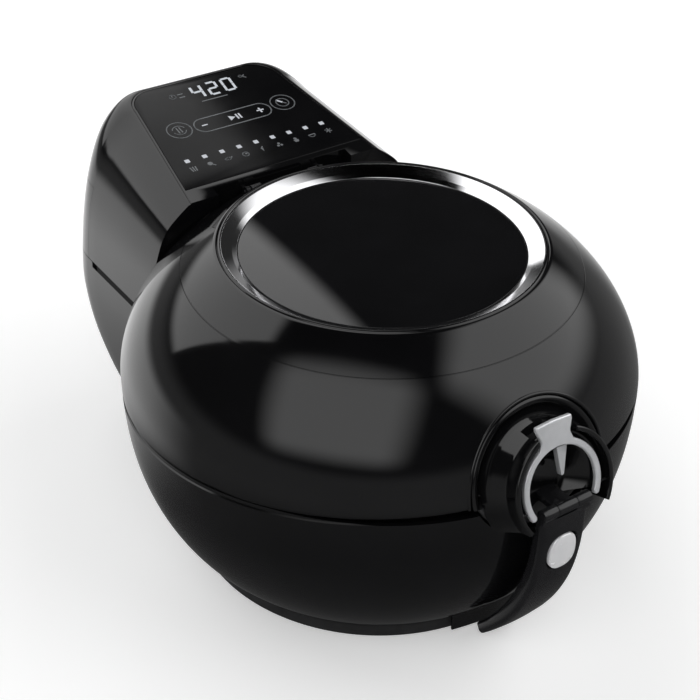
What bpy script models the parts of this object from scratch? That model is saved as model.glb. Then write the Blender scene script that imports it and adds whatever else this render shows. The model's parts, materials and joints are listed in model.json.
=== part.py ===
"""Round countertop air fryer with a stirring paddle, built from separate parts.

Metres, +Z up. The origin is on the table under the middle of the whole machine.
+X is the machine's right, -Y is the front with the folding pan handle, and the
control tower stands at the +Y end. The round body's vertical axis is at y = BODY_Y.
"""

import math

import bmesh
import bpy
from mathutils import Matrix, Vector

# Round body
BODY_Y = -0.0335
BODY_R = 0.182
EQUATOR_Z = 0.1434
SEAM_Z = 0.1375
SEAM_SLOPE = 0.067
SEAM_GAP = 0.002
DOME_RISE = 0.1267
DOME_POWER = 1.85
BOWL_DROP = 0.1755
BOWL_POWER = 2.4
WALL = 0.003
FIT = 0.0003
FOOT_R = 0.1362
FOOT_TOP = 0.0142

# Lid top
RING_OUT_R = 0.1117
RING_OUT_Z = 0.2387
RING_IN_R = 0.0982
RING_IN_Z = 0.2326
WINDOW_R = 0.0978

# Lid cut and hinge
CUT_Y = 0.0883
WALL_Y = CUT_Y + 0.009
HINGE_Y = CUT_Y + 0.0035
HINGE_Z = 0.2272
HINGE_PIN_R = 0.0012
HINGE_ARM_X = 0.0245
LID_BACK = 0.0020

# Control tower
TOWER_SPLIT_Z = 0.1434
PANEL_Y = 0.1651
PANEL_Z = 0.2470
PANEL_SLOPE = 0.19
PANEL_THICK = 0.0022
TOWER_FRONT_Y = 0.050
REAR_COVER_Y = 0.1960
REAR_COVER_TOP = 0.2030

# Latch hub on the front, whose axis points forwards and 20 degrees up
HUB_TILT = math.radians(20)
HUB_CENTRE = Vector((0.0, -0.2072, 0.1529))
HUB_RIM_R = 0.0535
HOOD_R = 0.0385
LATCH_OFFSET = 0.0226
LATCH_R = 0.0306
LATCH_BAND = 0.0046

# Pan, its folding handle and the paddle drive
PAN_RIM_R = 0.125
PAN_RIM_Z = 0.1248
LEDGE_Z = 0.1262
SKIRT_LOW = 0.1330
PAN_FLOOR_Z = 0.050
PAN_WALL = 0.0022
WELL_R = 0.1325
HANDLE_PIVOT = Vector((0.0, -0.2342, 0.1477))
HANDLE_DISH = Vector((0.0, -0.2080, 0.1690))
HANDLE_HALF_W = 0.0192
BUTTON_Z = 0.1126
CHIN_TOP = 0.1070
HANDLE_TOP = 0.1430
MODULE = 0.001
PINION_TEETH = 12
GEAR_TEETH = 36
GEAR_DISTANCE = MODULE * (PINION_TEETH + GEAR_TEETH) / 2 + 0.00035
GEAR_Z = 0.0245
FAN_CENTRE = Vector((0.0, 0.1500, 0.0960))

SHELL_STEPS = 40
INNER_STEPS = 28

MODEL = bpy.data.collections.new("round_air_fryer")
CUTTERS = bpy.data.collections.new("cutters")


# ---------------------------------------------------------------- scene basics

def clear_scene():
    for obj in list(bpy.data.objects):
        bpy.data.objects.remove(obj, do_unlink=True)
    bpy.context.scene.collection.children.link(MODEL)
    bpy.context.scene.collection.children.link(CUTTERS)


def material(name, color, roughness, metallic=0.0):
    mat = bpy.data.materials.new(name)
    mat.use_nodes = True
    shader = mat.node_tree.nodes["Principled BSDF"]
    shader.inputs["Base Color"].default_value = (*color, 1.0)
    shader.inputs["Roughness"].default_value = roughness
    shader.inputs["Metallic"].default_value = metallic
    mat.diffuse_color = (*color, 1.0)
    return mat


GLOSS_BLACK = material("gloss_black", (0.008, 0.008, 0.009), 0.08)
MATTE_BLACK = material("matte_black", (0.02, 0.02, 0.022), 0.55)
INNER_BLACK = material("inner_black", (0.03, 0.03, 0.032), 0.45)
CHROME = material("chrome", (0.82, 0.82, 0.84), 0.12, 1.0)
SATIN_SILVER = material("satin_silver", (0.72, 0.73, 0.75), 0.3, 1.0)
SMOKED_GLASS = material("smoked_glass", (0.01, 0.01, 0.012), 0.04)
PANEL_GLASS = material("panel_glass", (0.006, 0.006, 0.007), 0.05)
RUBBER = material("rubber", (0.03, 0.03, 0.03), 0.8)
SILICONE = material("silicone", (0.18, 0.18, 0.18), 0.6)
PAN_COATING = material("pan_coating", (0.07, 0.07, 0.07), 0.4, 0.3)
STEEL = material("steel", (0.55, 0.55, 0.56), 0.3, 1.0)
BOARD_GREEN = material("board_green", (0.02, 0.16, 0.07), 0.5)
GEAR_WHITE = material("gear_white", (0.8, 0.8, 0.76), 0.5)


def add_object(name, mesh, mat=None, matrix=None):
    """Link a mesh into the model, or among the cutters where it has no material."""
    obj = bpy.data.objects.new(name, mesh)
    if matrix is not None:
        obj.matrix_world = matrix
    if mat is None:
        CUTTERS.objects.link(obj)
        obj.hide_render = True
        obj.display_type = "WIRE"
    else:
        MODEL.objects.link(obj)
        mesh.materials.append(mat)
    return obj


def finish_bmesh(bm, name):
    bmesh.ops.recalc_face_normals(bm, faces=bm.faces[:])
    mesh = bpy.data.meshes.new(name)
    bm.to_mesh(mesh)
    bm.free()
    return mesh


def smooth(obj, angle=35):
    obj.data.shade_smooth()
    obj.data.set_sharp_from_angle(angle=math.radians(angle))
    return obj


def bevel(obj, width, segments=2, angle=40):
    mod = obj.modifiers.new("rounded_edges", "BEVEL")
    mod.width = width
    mod.segments = segments
    mod.limit_method = "ANGLE"
    mod.angle_limit = math.radians(angle)
    return obj


def combine(obj, other, operation):
    mod = obj.modifiers.new(operation.lower(), "BOOLEAN")
    mod.operation = operation
    mod.solver = "EXACT"
    mod.object = other
    return obj


def cut(obj, *others):
    for other in others:
        combine(obj, other, "DIFFERENCE")
    return obj


# --------------------------------------------------------------- basic shapes

def box(name, low, high, mat=None, matrix=None):
    bm = bmesh.new()
    bmesh.ops.create_cube(bm, size=1.0)
    low, high = Vector(low), Vector(high)
    bmesh.ops.scale(bm, vec=high - low, verts=bm.verts)
    bmesh.ops.translate(bm, vec=(low + high) / 2, verts=bm.verts)
    return add_object(name, finish_bmesh(bm, name), mat, matrix)


def rod(name, start, end, radius, mat=None, sides=20, end_radius=None):
    """A round bar or cone between two points."""
    start, end = Vector(start), Vector(end)
    span = end - start
    bm = bmesh.new()
    bmesh.ops.create_cone(bm, cap_ends=True, segments=sides, radius1=radius,
                          radius2=radius if end_radius is None else end_radius,
                          depth=span.length)
    turn = span.to_track_quat("Z", "X").to_matrix().to_4x4()
    place = Matrix.Translation((start + end) / 2) @ turn
    obj = add_object(name, finish_bmesh(bm, name), mat, place)
    return smooth(obj)


def turned(name, profile, mat=None, matrix=None, steps=SHELL_STEPS, closed=True):
    """Turn a radius and height profile, listed down its outer side, about local Z."""
    mesh = bpy.data.meshes.new(name)
    edges = [(i, i + 1) for i in range(len(profile) - 1)]
    if closed:
        edges.append((len(profile) - 1, 0))
    mesh.from_pydata([(r, 0.0, z) for r, z in profile], edges, [])
    obj = add_object(name, mesh, mat, matrix or body_matrix())
    screw = obj.modifiers.new("turn", "SCREW")
    screw.steps = steps
    screw.render_steps = steps
    screw.use_merge_vertices = True
    screw.merge_threshold = 0.00005
    screw.use_smooth_shade = True
    return obj


def prism(name, outline, low, high, mat=None, matrix=None):
    """Extrude a flat outline of x, y points from one local height to another."""
    return loft(name, [[(x, y, z) for x, y in outline] for z in (low, high)], mat, matrix)


def loft(name, rings, mat=None, matrix=None):
    """Join rings of points, all with the same count, into one capped solid."""
    bm = bmesh.new()
    rows = [[bm.verts.new(point) for point in ring] for ring in rings]
    count = len(rows[0])
    for lower, upper in zip(rows, rows[1:]):
        for i in range(count):
            j = (i + 1) % count
            bm.faces.new((lower[i], lower[j], upper[j], upper[i]))
    bm.faces.new(rows[0])
    bm.faces.new(rows[-1])
    return add_object(name, finish_bmesh(bm, name), mat, matrix)


def tube(name, points, radius, mat, resolution=2):
    """A capped round wire through a list of points."""
    curve = bpy.data.curves.new(name, "CURVE")
    curve.dimensions = "3D"
    curve.bevel_depth = radius
    curve.bevel_resolution = resolution
    curve.use_fill_caps = True
    spline = curve.splines.new("POLY")
    spline.points.add(len(points) - 1)
    for target, point in zip(spline.points, points):
        target.co = (*point, 1.0)
    curve.materials.append(mat)
    obj = bpy.data.objects.new(name, curve)
    MODEL.objects.link(obj)
    return obj


def arc(radius, start, end, count, centre=(0.0, 0.0)):
    """Points along a circular arc, with the angles in degrees."""
    steps = [math.radians(start + (end - start) * i / count) for i in range(count + 1)]
    return [(centre[0] + radius * math.cos(a), centre[1] + radius * math.sin(a)) for a in steps]


# -------------------------------------------------------------- shared frames

def body_matrix():
    return Matrix.Translation((0.0, BODY_Y, 0.0))


def hub_matrix():
    """Local +Z runs out of the hub, local +X is the machine's +X and local +Y points up."""
    out = Vector((0.0, -math.cos(HUB_TILT), math.sin(HUB_TILT)))
    side = Vector((1.0, 0.0, 0.0))
    up = out.cross(side)
    turn = Matrix((side, up, out)).transposed().to_4x4()
    return Matrix.Translation(HUB_CENTRE) @ turn


def seam_matrix():
    tilt = Matrix.Rotation(-math.atan(SEAM_SLOPE), 4, "X")
    return Matrix.Translation((0.0, BODY_Y, SEAM_Z)) @ tilt


def dome_height(radius):
    """Height of the dome's outer surface at a radius from the body's axis."""
    ratio = min(radius / BODY_R, 1.0)
    return EQUATOR_Z + DOME_RISE * (1.0 - ratio ** DOME_POWER) ** (1.0 / DOME_POWER)


def bowl_radius(height):
    """Outer radius of the bowl below the equator."""
    ratio = (EQUATOR_Z - height) / BOWL_DROP
    return BODY_R * (1.0 - ratio ** BOWL_POWER) ** (1.0 / BOWL_POWER)


def dome_line(inset, top_r, count=8):
    """The dome's outline from near its top down to the equator, moved inwards."""
    points = []
    for i in range(count + 1):
        angle = math.radians(90 * i / count)
        radius = top_r + (BODY_R - top_r) * math.sin(angle)
        slope_r = min(radius, BODY_R * 0.9995)
        run = dome_height(slope_r - 0.0002) - dome_height(min(slope_r + 0.0002, BODY_R))
        normal = Vector((run, 0.0004)).normalized()
        if i == count:
            normal = Vector((1.0, 0.0))
        points.append((radius - inset * normal.x, dome_height(radius) - inset * normal.y))
    return points


def bowl_line(inset, bottom_z, count=8):
    """The bowl's outline from the equator down to a height, moved inwards."""
    heights = [EQUATOR_Z + (bottom_z - EQUATOR_Z) * i / count for i in range(1, count + 1)]
    return [(bowl_radius(z) - inset, z) for z in heights]


# ------------------------------------------------------------- tower outlines

# Each level: height at PANEL_Y, slope along Y, half width at PANEL_Y, narrowing
# along Y, rear Y, corner radius, and how much the rear stands above the sides.
TOWER_LEVELS = (
    (0.0146, 0.00, 0.0970, 0.00, 0.2010, 0.046, 0.000),
    (0.0370, 0.00, 0.1050, 0.00, 0.2170, 0.042, 0.000),
    (0.0740, 0.00, 0.1115, 0.00, 0.2335, 0.040, 0.000),
    (0.1100, 0.00, 0.1150, 0.00, 0.2395, 0.040, 0.000),
    (0.1380, 0.00, 0.1150, 0.00, 0.2405, 0.042, 0.000),
    (0.1780, 0.01, 0.1120, 0.01, 0.2400, 0.046, 0.000),
    (0.2050, 0.06, 0.1050, 0.03, 0.2380, 0.042, 0.002),
    (0.2250, 0.13, 0.0950, 0.07, 0.2350, 0.036, 0.005),
    (0.2385, 0.19, 0.0820, 0.12, 0.2290, 0.028, 0.004),
    (0.2470, 0.19, 0.0690, 0.14, 0.2225, 0.022, 0.000),
)


def tower_ring(level, inset=0.0, front=TOWER_FRONT_Y, drop=0.0, corner_steps=5):
    """One closed outline round the tower, moved inwards by inset and down by drop."""
    height, slope, half_w, taper, rear, corner, rear_rise = level
    rear -= inset
    corner = max(corner - inset, 0.004)

    def width_at(y):
        return half_w - inset - taper * (y - PANEL_Y)

    def place(x, y, rise):
        return (x, y, height - drop + slope * (y - PANEL_Y) + rear_rise * rise)

    corner_y = rear - corner
    right = []
    for i in range(3):
        y = front + (corner_y - front) * i / 3
        right.append((width_at(y), y, 0.0))
    for i in range(corner_steps + 1):
        angle = math.radians(90 * i / corner_steps)
        x = width_at(corner_y) - corner + corner * math.cos(angle)
        right.append((x, corner_y + corner * math.sin(angle), math.sin(angle)))
    left = [(-x, y, rise) for x, y, rise in reversed(right)]
    return [place(*point) for point in right + left]


def tower_solid(name, inset=0.0, low=0.0, high=0.0, front=TOWER_FRONT_Y):
    """The whole tower as one solid; low and high move its two ends outwards."""
    rings = [tower_ring(level, inset, front) for level in TOWER_LEVELS[:-1]]
    rings[0] = [(x, y, z - low) for x, y, z in rings[0]]
    top = TOWER_LEVELS[-1]
    rings.append(tower_ring(top, inset, front, drop=-high))
    return loft(name, rings)


# ------------------------------------------------------------------- cutters

def make_cutters():
    """Large shapes that part the shells from each other."""
    big = 0.6
    tools = {}
    tools["above_seam"] = box("cut_above_seam", (-big, -big, -SEAM_GAP / 2), (big, big, big),
                              matrix=seam_matrix())
    tools["below_seam"] = box("cut_below_seam", (-big, -big, -big), (big, big, SEAM_GAP / 2),
                              matrix=seam_matrix())
    tools["behind_lid"] = box("cut_behind_lid", (-big, CUT_Y, -big), (big, big, big))
    tools["before_tower"] = box("cut_before_tower", (-big, -big, -big), (big, WALL_Y, big))
    tools["hub_hole"] = turned("cut_hub_hole",
                               [(0.0, 0.05), (HUB_RIM_R, 0.05), (HUB_RIM_R, -0.05), (0.0, -0.05)],
                               matrix=hub_matrix(), steps=36, closed=False)
    tools["air_window"] = box("cut_air_window", (-0.045, CUT_Y - 0.03, 0.150), (0.045, CUT_Y + 0.03, 0.185))
    front = Vector((0.0, -1.0, 0.0))
    tools["handle_hole"] = rod("cut_handle_hole", HANDLE_DISH + front * 0.06, HANDLE_DISH - front * 0.06,
                               HUB_RIM_R, sides=36)
    return tools


# ----------------------------------------------------------------------- base

def base_shell(tools):
    """Lower bowl and the lower half of the tower, moulded as one open shell."""
    top_z = EQUATOR_Z + 0.03
    outer_line = [(0.0, top_z), (BODY_R, top_z), (BODY_R, EQUATOR_Z)]
    outer_line += bowl_line(0.0, FOOT_TOP + 2 * FIT) + [(0.0, FOOT_TOP + 2 * FIT)]
    shell = turned("base_shell", outer_line, GLOSS_BLACK, closed=False)
    combine(shell, tower_solid("cut_tower_outer"), "UNION")
    inner_r = BODY_R - WALL
    inner_line = [(0.0, 0.3), (inner_r, 0.3), (inner_r, EQUATOR_Z)]
    inner_line += bowl_line(WALL, 0.004) + [(0.0, 0.004)]
    cut(shell, turned("cut_bowl_inner", inner_line, closed=False))
    cut(shell, tower_solid("cut_tower_inner", WALL, low=0.03))
    top_cut = box("cut_tower_top", (-0.3, WALL_Y - 0.012, TOWER_SPLIT_Z), (0.3, 0.4, 0.6))
    front_cut = box("cut_front_top", (-0.3, -0.5, -SEAM_GAP / 2), (0.3, CUT_Y - BODY_Y + 0.0015, 0.4),
                    matrix=seam_matrix())
    cut(shell, top_cut, front_cut, tools["handle_hole"])
    cut(shell, rod("cut_gland_hole", gland_point(-0.02), gland_point(0.02), 0.0074, sides=20))
    for side in (-1, 1):
        groove = box(f"cut_groove_{side}", (side * 0.1185 - 0.0055, 0.1200, TOWER_SPLIT_Z - 0.0035),
                     (side * 0.1185 + 0.0055, 0.1905, TOWER_SPLIT_Z + 0.01))
        cut(shell, groove)
    return smooth(shell)


def foot_band():
    line = [(FOOT_R, FOOT_TOP), (FOOT_R, 0.0025), (FOOT_R - 0.001, 0.0015), (FOOT_R - 0.0112, 0.0015),
            (FOOT_R - 0.0112, FOOT_TOP)]
    return smooth(turned("foot_band", line, MATTE_BLACK))


def base_plate():
    """Bottom closure under the bowl and the tower."""
    low, high = FOOT_TOP + 0.0005, FOOT_TOP + 0.003
    radius = bowl_radius(low) - WALL - 0.0016
    plate = turned("base_plate", [(0.0, high), (radius, high), (radius, low), (0.0, low)], MATTE_BLACK,
                   closed=False)
    inset = WALL + 0.0008
    outline = [(x, y) for x, y, _ in tower_ring(TOWER_LEVELS[0], inset)]
    combine(plate, prism("cut_plate_tower", outline, low, high), "UNION")
    return plate


def feet():
    """Three pads under the foot band and two taller feet under the tower."""
    ring_r = FOOT_R - 0.0056
    for index, degrees in enumerate((270, 30, 150)):
        angle = math.radians(degrees)
        x, y = ring_r * math.cos(angle), BODY_Y + ring_r * math.sin(angle)
        rod(f"foot_pad_{index + 1}", (x, y, 0.0), (x, y, 0.0012), 0.0048, RUBBER, 18)
    for index, x in enumerate((-0.062, 0.062)):
        rod(f"rear_foot_{index + 1}", (x, 0.165, 0.0), (x, 0.165, FOOT_TOP + 0.0002), 0.010, RUBBER, 18,
            end_radius=0.012)


def pan_well():
    """Fixed bowl that the pan sits in, with a flat ledge out to the shell."""
    floor = PAN_FLOOR_Z - 0.0075
    top = LEDGE_Z
    ledge_r = BODY_R - WALL - 0.0035
    line = [(ledge_r, top), (ledge_r, top - 0.002), (WELL_R + 0.002, top - 0.002), (0.118, floor + 0.012),
            (0.106, floor), (0.016, floor), (0.016, floor + 0.002), (0.105, floor + 0.002),
            (0.1162, floor + 0.0135), (WELL_R, top)]
    well = turned("pan_well", line, INNER_BLACK, steps=INNER_STEPS)
    front_y = BODY_Y - BODY_R
    cut(well, box("cut_ledge_notch", (-0.056, front_y, top - 0.01), (0.056, front_y + 0.0170, top + 0.01)))
    return smooth(well)


def drive():
    """Gearmotor under the pan, its pinion, the large gear and the output coupling."""
    centre = Vector((0.0, BODY_Y, 0.0))
    motor_at = centre + Vector((GEAR_DISTANCE, 0.0, 0.0))
    rod("gearmotor", motor_at + Vector((0.0, 0.0, 0.0308)), motor_at + Vector((0.0, 0.0, 0.0390)),
        0.0185, STEEL, 24)
    gear("drive_gear", GEAR_TEETH, 0.0, centre, GEAR_WHITE, bore=0.0046)
    gear("motor_pinion", PINION_TEETH, 180.0 / PINION_TEETH, motor_at, STEEL, bore=0.0)
    box_low = centre + Vector((-0.030, -0.031, FOOT_TOP + 0.0034))
    box_high = centre + Vector((0.044, 0.031, FOOT_TOP + 0.0060))
    bevel(box("gear_tray", box_low, box_high, INNER_BLACK), 0.0008, 1)
    line = [(0.0, 0.0855), (0.0040, 0.0855), (0.0040, 0.0205), (0.0, 0.0205)]
    shaft = turned("drive_shaft", line, STEEL, steps=20, closed=False)
    bush = [(0.0095, 0.0465), (0.0095, 0.0448), (0.0112, 0.0448), (0.0112, 0.0395), (0.0043, 0.0395),
            (0.0043, 0.0465)]
    turned("shaft_bush", bush, GEAR_WHITE, steps=20)
    return shaft


def gear(name, teeth, phase, centre, mat, bore):
    """A spur gear with straight-sided teeth, standing at GEAR_Z."""
    pitch_r = MODULE * teeth / 2
    outline = []
    for tooth in range(teeth):
        middle = math.radians(phase) + 2 * math.pi * tooth / teeth
        pitch = 2 * math.pi / teeth
        for share, radius in ((-0.28, pitch_r - 1.05 * MODULE), (-0.13, pitch_r + 0.8 * MODULE),
                              (0.13, pitch_r + 0.8 * MODULE), (0.28, pitch_r - 1.05 * MODULE)):
            angle = middle + share * pitch
            outline.append((radius * math.cos(angle), radius * math.sin(angle)))
    place = Matrix.Translation((centre.x, centre.y, 0.0))
    obj = prism(name, outline, GEAR_Z - 0.003, GEAR_Z + 0.003, mat, place)
    if bore:
        hole = rod(f"cut_{name}_bore", (centre.x, centre.y, 0.0), (centre.x, centre.y, 0.05), bore,
                   sides=20)
        cut(obj, hole)
    return obj


# ------------------------------------------------------------------ the tower

def cover_shell(name, tag, tools):
    """Upper tower with the fixed shoulders of the dome behind the lid, open below."""
    shell = add_object(name, tower_solid(f"cut_cover_outer_{tag}").data.copy(), GLOSS_BLACK)
    low_z = EQUATOR_Z - 0.03
    outer = [(0.0, dome_height(0.0)), *dome_line(0.0, 0.03), (BODY_R, low_z), (0.0, low_z)]
    combine(shell, turned(f"cut_dome_outer_{tag}", outer, closed=False), "UNION")
    inner = [(0.0, dome_height(0.0) - WALL), *dome_line(WALL, 0.03), (BODY_R - WALL, low_z), (0.0, low_z)]
    inside = turned(f"cut_dome_inner_{tag}", inner, closed=False)
    hollow = tower_solid(f"cut_cover_inner_{tag}", WALL, high=-WALL)
    combine(hollow, inside, "UNION")
    wall_box = box(f"cut_cover_wall_{tag}", (-0.6, -0.6, -0.6), (0.6, WALL_Y + WALL, 0.6))
    combine(hollow, wall_box, "DIFFERENCE")
    cut(shell, hollow, tools["before_tower"])
    cut(shell, box(f"cut_cover_low_{tag}", (-0.6, -0.6, -0.6), (0.6, 0.6, TOWER_SPLIT_Z + 2 * FIT)))
    return shell


def panel_outline(inset, drop):
    level = TOWER_LEVELS[-1]
    return tower_ring(level, inset, front=WALL_Y + 0.0035 + inset, drop=drop)


def tower_cover(tools):
    cover = cover_shell("tower_cover", "front", tools)
    recess = loft("cut_panel_recess",
                  [panel_outline(0.0016, PANEL_THICK + FIT), panel_outline(0.0016, -0.01)])
    cut(cover, recess)
    cut(cover, box("cut_rear_opening", (-0.3, REAR_COVER_Y - FIT, 0.0), (0.3, 0.4, REAR_COVER_TOP + FIT)))
    cut(cover, tools["air_window"])
    return smooth(cover)


def rear_cover(tools):
    cover = cover_shell("rear_cover", "rear", tools)
    combine(cover, box("cut_rear_keep", (-0.3, REAR_COVER_Y, 0.0), (0.3, 0.4, REAR_COVER_TOP)), "INTERSECT")
    for row in range(6):
        height = 0.1565 + row * 0.0075
        cut(cover, box(f"cut_vent_{row}", (-0.040, 0.2, height), (0.040, 0.3, height + 0.0032)))
    return smooth(cover)


def rear_screws():
    """Heads on the rear cover, each in its own shallow seat."""
    for index, (x, z) in enumerate(((-0.056, 0.1530), (0.056, 0.1530), (-0.056, 0.1950), (0.056, 0.1950))):
        rod(f"rear_screw_{index + 1}", (x, 0.2409, z), (x, 0.2416, z), 0.003, STEEL, 14)


def control_panel():
    glass = loft("control_panel", [panel_outline(0.002, PANEL_THICK), panel_outline(0.002, 0.0)],
                 PANEL_GLASS)
    return smooth(glass, 20)


def panel_matrix(y):
    """Frame on the panel's surface: local Z is its normal and local Y runs up the slope."""
    height = PANEL_Z + PANEL_SLOPE * (y - PANEL_Y)
    return Matrix.Translation((0.0, y, height)) @ Matrix.Rotation(math.atan(PANEL_SLOPE), 4, "X")


def electronics():
    """Display, lamps and boards under the panel and behind the tower's front wall."""
    under = WALL + PANEL_THICK
    bevel(box("display_module", (-0.030, -0.012, -under - 0.0075), (0.030, 0.012, -under - 0.0012),
              INNER_BLACK,
              panel_matrix(0.200)), 0.0006, 1)
    bevel(box("lamp_bar", (-0.0600, -0.004, -under - 0.0060), (0.0600, 0.004, -under - 0.0012), GEAR_WHITE,
              panel_matrix(0.131)), 0.0006, 1)
    box("control_board", (-0.058, -0.040, -under - 0.0105), (0.058, 0.046, -under - 0.0088), BOARD_GREEN,
        panel_matrix(0.163))
    box("power_board", (-0.080, 0.140, 0.045), (-0.0782, 0.195, 0.125), BOARD_GREEN)


def fan_and_heater():
    """Hot air side: fan housing, motor, impeller and the heating loop."""
    centre = FAN_CENTRE
    line = [(0.040, 0.0260), (0.040, 0.0), (0.038, 0.0), (0.038, 0.0240), (0.020, 0.0240), (0.020, 0.0260)]
    lift = Matrix.Translation(centre)
    smooth(turned("fan_housing", line, STEEL, lift, steps=32))
    rod("fan_motor", centre + Vector((0, 0, -0.046)), centre + Vector((0, 0, -0.006)), 0.024, STEEL, 24)
    hub_low, hub_high = centre + Vector((0, 0, 0.0003)), centre + Vector((0, 0, 0.0023))
    impeller = rod("fan_impeller", hub_low, hub_high, 0.034, STEEL, 32)
    for blade in range(8):
        spin = Matrix.Rotation(math.radians(45 * blade), 4, "Z")
        vane = box(f"cut_vane_{blade}", (0.012, -0.0006, 0.0015), (0.033, 0.0006, 0.0205),
                   matrix=lift @ spin)
        combine(impeller, vane, "UNION")
    rod("fan_shaft", centre + Vector((0, 0, -0.0055)), centre + Vector((0, 0, -0.0003)), 0.0025, STEEL, 16)
    loop = [(x, y, 0.0) for x, y in arc(0.030, -60, 240, 22)]
    heights = Vector((0.0, 0.150, 0.1360))
    points = [(x, y + heights.y, heights.z) for x, y, _ in loop]
    legs = ((points[0][0], points[0][1] - 0.016, points[0][2]),
            (points[-1][0], points[-1][1] - 0.016, points[-1][2]))
    tube("heater_loop", [legs[0], *points, legs[1]], 0.0032, STEEL)


def air_grille():
    """Slotted plate over the air mouth in the tower's front wall."""
    plate = box("air_grille", (-0.050, WALL_Y - 0.0023, 0.1445), (0.050, WALL_Y - 0.0003, 0.1900),
                INNER_BLACK)
    for row in range(5):
        height = 0.1515 + row * 0.0068
        cut(plate, box(f"cut_grille_{row}", (-0.042, WALL_Y - 0.02, height),
                       (0.042, WALL_Y + 0.02, height + 0.0036)))
    return plate


def gland_point(outwards):
    """A point on the gland's axis, measured from the tower's sloping back wall."""
    lower, upper = TOWER_LEVELS[1], TOWER_LEVELS[2]
    middle = Vector((-0.045, (lower[4] + upper[4]) / 2, (lower[0] + upper[0]) / 2))
    normal = Vector((0.0, upper[0] - lower[0], lower[4] - upper[4])).normalized()
    return middle + normal * outwards


def cord_gland():
    """Round gland low on the back of the tower."""
    line = [(0.0, 0.0060), (0.0085, 0.0060), (0.0105, 0.0004), (0.0070, 0.0004), (0.0070, -0.0062),
            (0.0, -0.0062)]
    normal = gland_point(1.0) - gland_point(0.0)
    place = Matrix.Translation(gland_point(0.0)) @ normal.to_track_quat("Z", "Y").to_matrix().to_4x4()
    gland = turned("cord_gland", line, RUBBER, place, steps=24, closed=False)
    cut(gland, rod("cut_cord_bore", gland_point(-0.02), gland_point(0.02), 0.0036, sides=16))
    return smooth(gland)


# -------------------------------------------------------------------- the lid

def lid_shell(tools):
    """Dome from the chrome ring to the seam, closed at the back by a flat wall."""
    top_r = RING_OUT_R + 0.0010
    low_z = SEAM_Z - 0.015
    outer = dome_line(0.0, top_r) + [(BODY_R, low_z), (0.0, low_z)]
    lid = turned("lid_shell", [(0.0, dome_height(top_r)), *outer], GLOSS_BLACK, closed=False)
    inner = dome_line(WALL, top_r) + [(BODY_R - WALL, low_z - 0.01), (0.0, low_z - 0.01)]
    mouth = [(0.0, 0.3), (top_r + 0.0002, 0.3), (top_r + 0.0002, dome_height(top_r) - 0.0006)]
    hollow = turned("cut_lid_inner", mouth + inner, closed=False)
    back = box("cut_lid_back", (-0.6, CUT_Y - LID_BACK, -0.6), (0.6, 0.6, 0.6))
    cut(hollow, back)
    cut(lid, hollow, tools["below_seam"], tools["behind_lid"], tools["hub_hole"], tools["air_window"])
    for side in (-1, 1):
        x = side * HINGE_ARM_X
        slot = box(f"cut_arm_slot_{side}", (x - 0.0046, CUT_Y - 0.01, HINGE_Z - 0.0116),
                   (x + 0.0046, CUT_Y + 0.01, HINGE_Z - 0.0008))
        cut(lid, slot)
    return smooth(lid)


def lid_top():
    """Chrome ring, smoked window, its gasket and the frame that carries them."""
    out_r, in_r = RING_OUT_R, RING_IN_R
    mid = (out_r + in_r) / 2
    line = [(in_r, RING_IN_Z), (mid, RING_OUT_Z - 0.0022), (out_r - 0.0018, RING_OUT_Z),
            (out_r, RING_OUT_Z - 0.0012),
            (out_r - 0.0018, RING_OUT_Z - 0.0024), (out_r - 0.0035,
                                                    RING_OUT_Z - 0.0070), (in_r, RING_IN_Z - 0.0022)]
    smooth(turned("chrome_ring", line, CHROME), 25)
    top = RING_IN_Z - 0.0004
    dish = [(0.0, top + 0.0012), (WINDOW_R * 0.6, top + 0.0009), (WINDOW_R, top),
            (WINDOW_R, top - 0.004), (0.0, top - 0.003)]
    smooth(turned("lid_window", dish, SMOKED_GLASS, closed=False))
    low = top - 0.0044
    turned("window_gasket", [(WINDOW_R, low), (WINDOW_R, low - 0.0018), (WINDOW_R - 0.005, low - 0.0018),
                             (WINDOW_R - 0.005, low)], SILICONE, steps=INNER_STEPS)


def lid_frame(tools):
    """Inner skirt of the lid, with the two hinge knuckles on its back."""
    top = RING_IN_Z - 0.0072
    line = [(0.1065, top), (0.1065, top - 0.0035), (0.1165, 0.2060), (0.1195, SKIRT_LOW),
            (0.1125, SKIRT_LOW), (0.1125, SKIRT_LOW + 0.002), (0.1173, SKIRT_LOW + 0.002),
            (0.1143, 0.2050), (0.1045, top - 0.0045), (0.0925, top - 0.0045), (0.0925, top)]
    frame = smooth(turned("lid_frame", line, INNER_BLACK, steps=INNER_STEPS))
    cut(frame, tools["air_window"])
    for side, x in (("left", -HINGE_ARM_X), ("right", HINGE_ARM_X)):
        arm = box(f"cut_arm_{side}", (x - 0.004, CUT_Y - 0.0175, HINGE_Z - 0.0110),
                  (x + 0.004, HINGE_Y, HINGE_Z - 0.0012))
        combine(frame, arm, "UNION")
        knuckle = rod(f"cut_knuckle_{side}", (x - 0.004, HINGE_Y, HINGE_Z),
                      (x + 0.004, HINGE_Y, HINGE_Z), 0.0030, sides=18)
        combine(frame, knuckle, "UNION")
    cut(frame,
        rod("cut_knuckle_bore", (-0.05, HINGE_Y, HINGE_Z), (0.05, HINGE_Y, HINGE_Z), 0.0014, sides=12))
    return frame


def lid_seal():
    top = SKIRT_LOW - 0.0005
    line = [(0.1190, top), (0.1190, top - 0.0046), (0.1165, top - 0.0067), (0.1150, top - 0.0046),
            (0.1130, top)]
    return smooth(turned("lid_seal", line, SILICONE, steps=INNER_STEPS))


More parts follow.
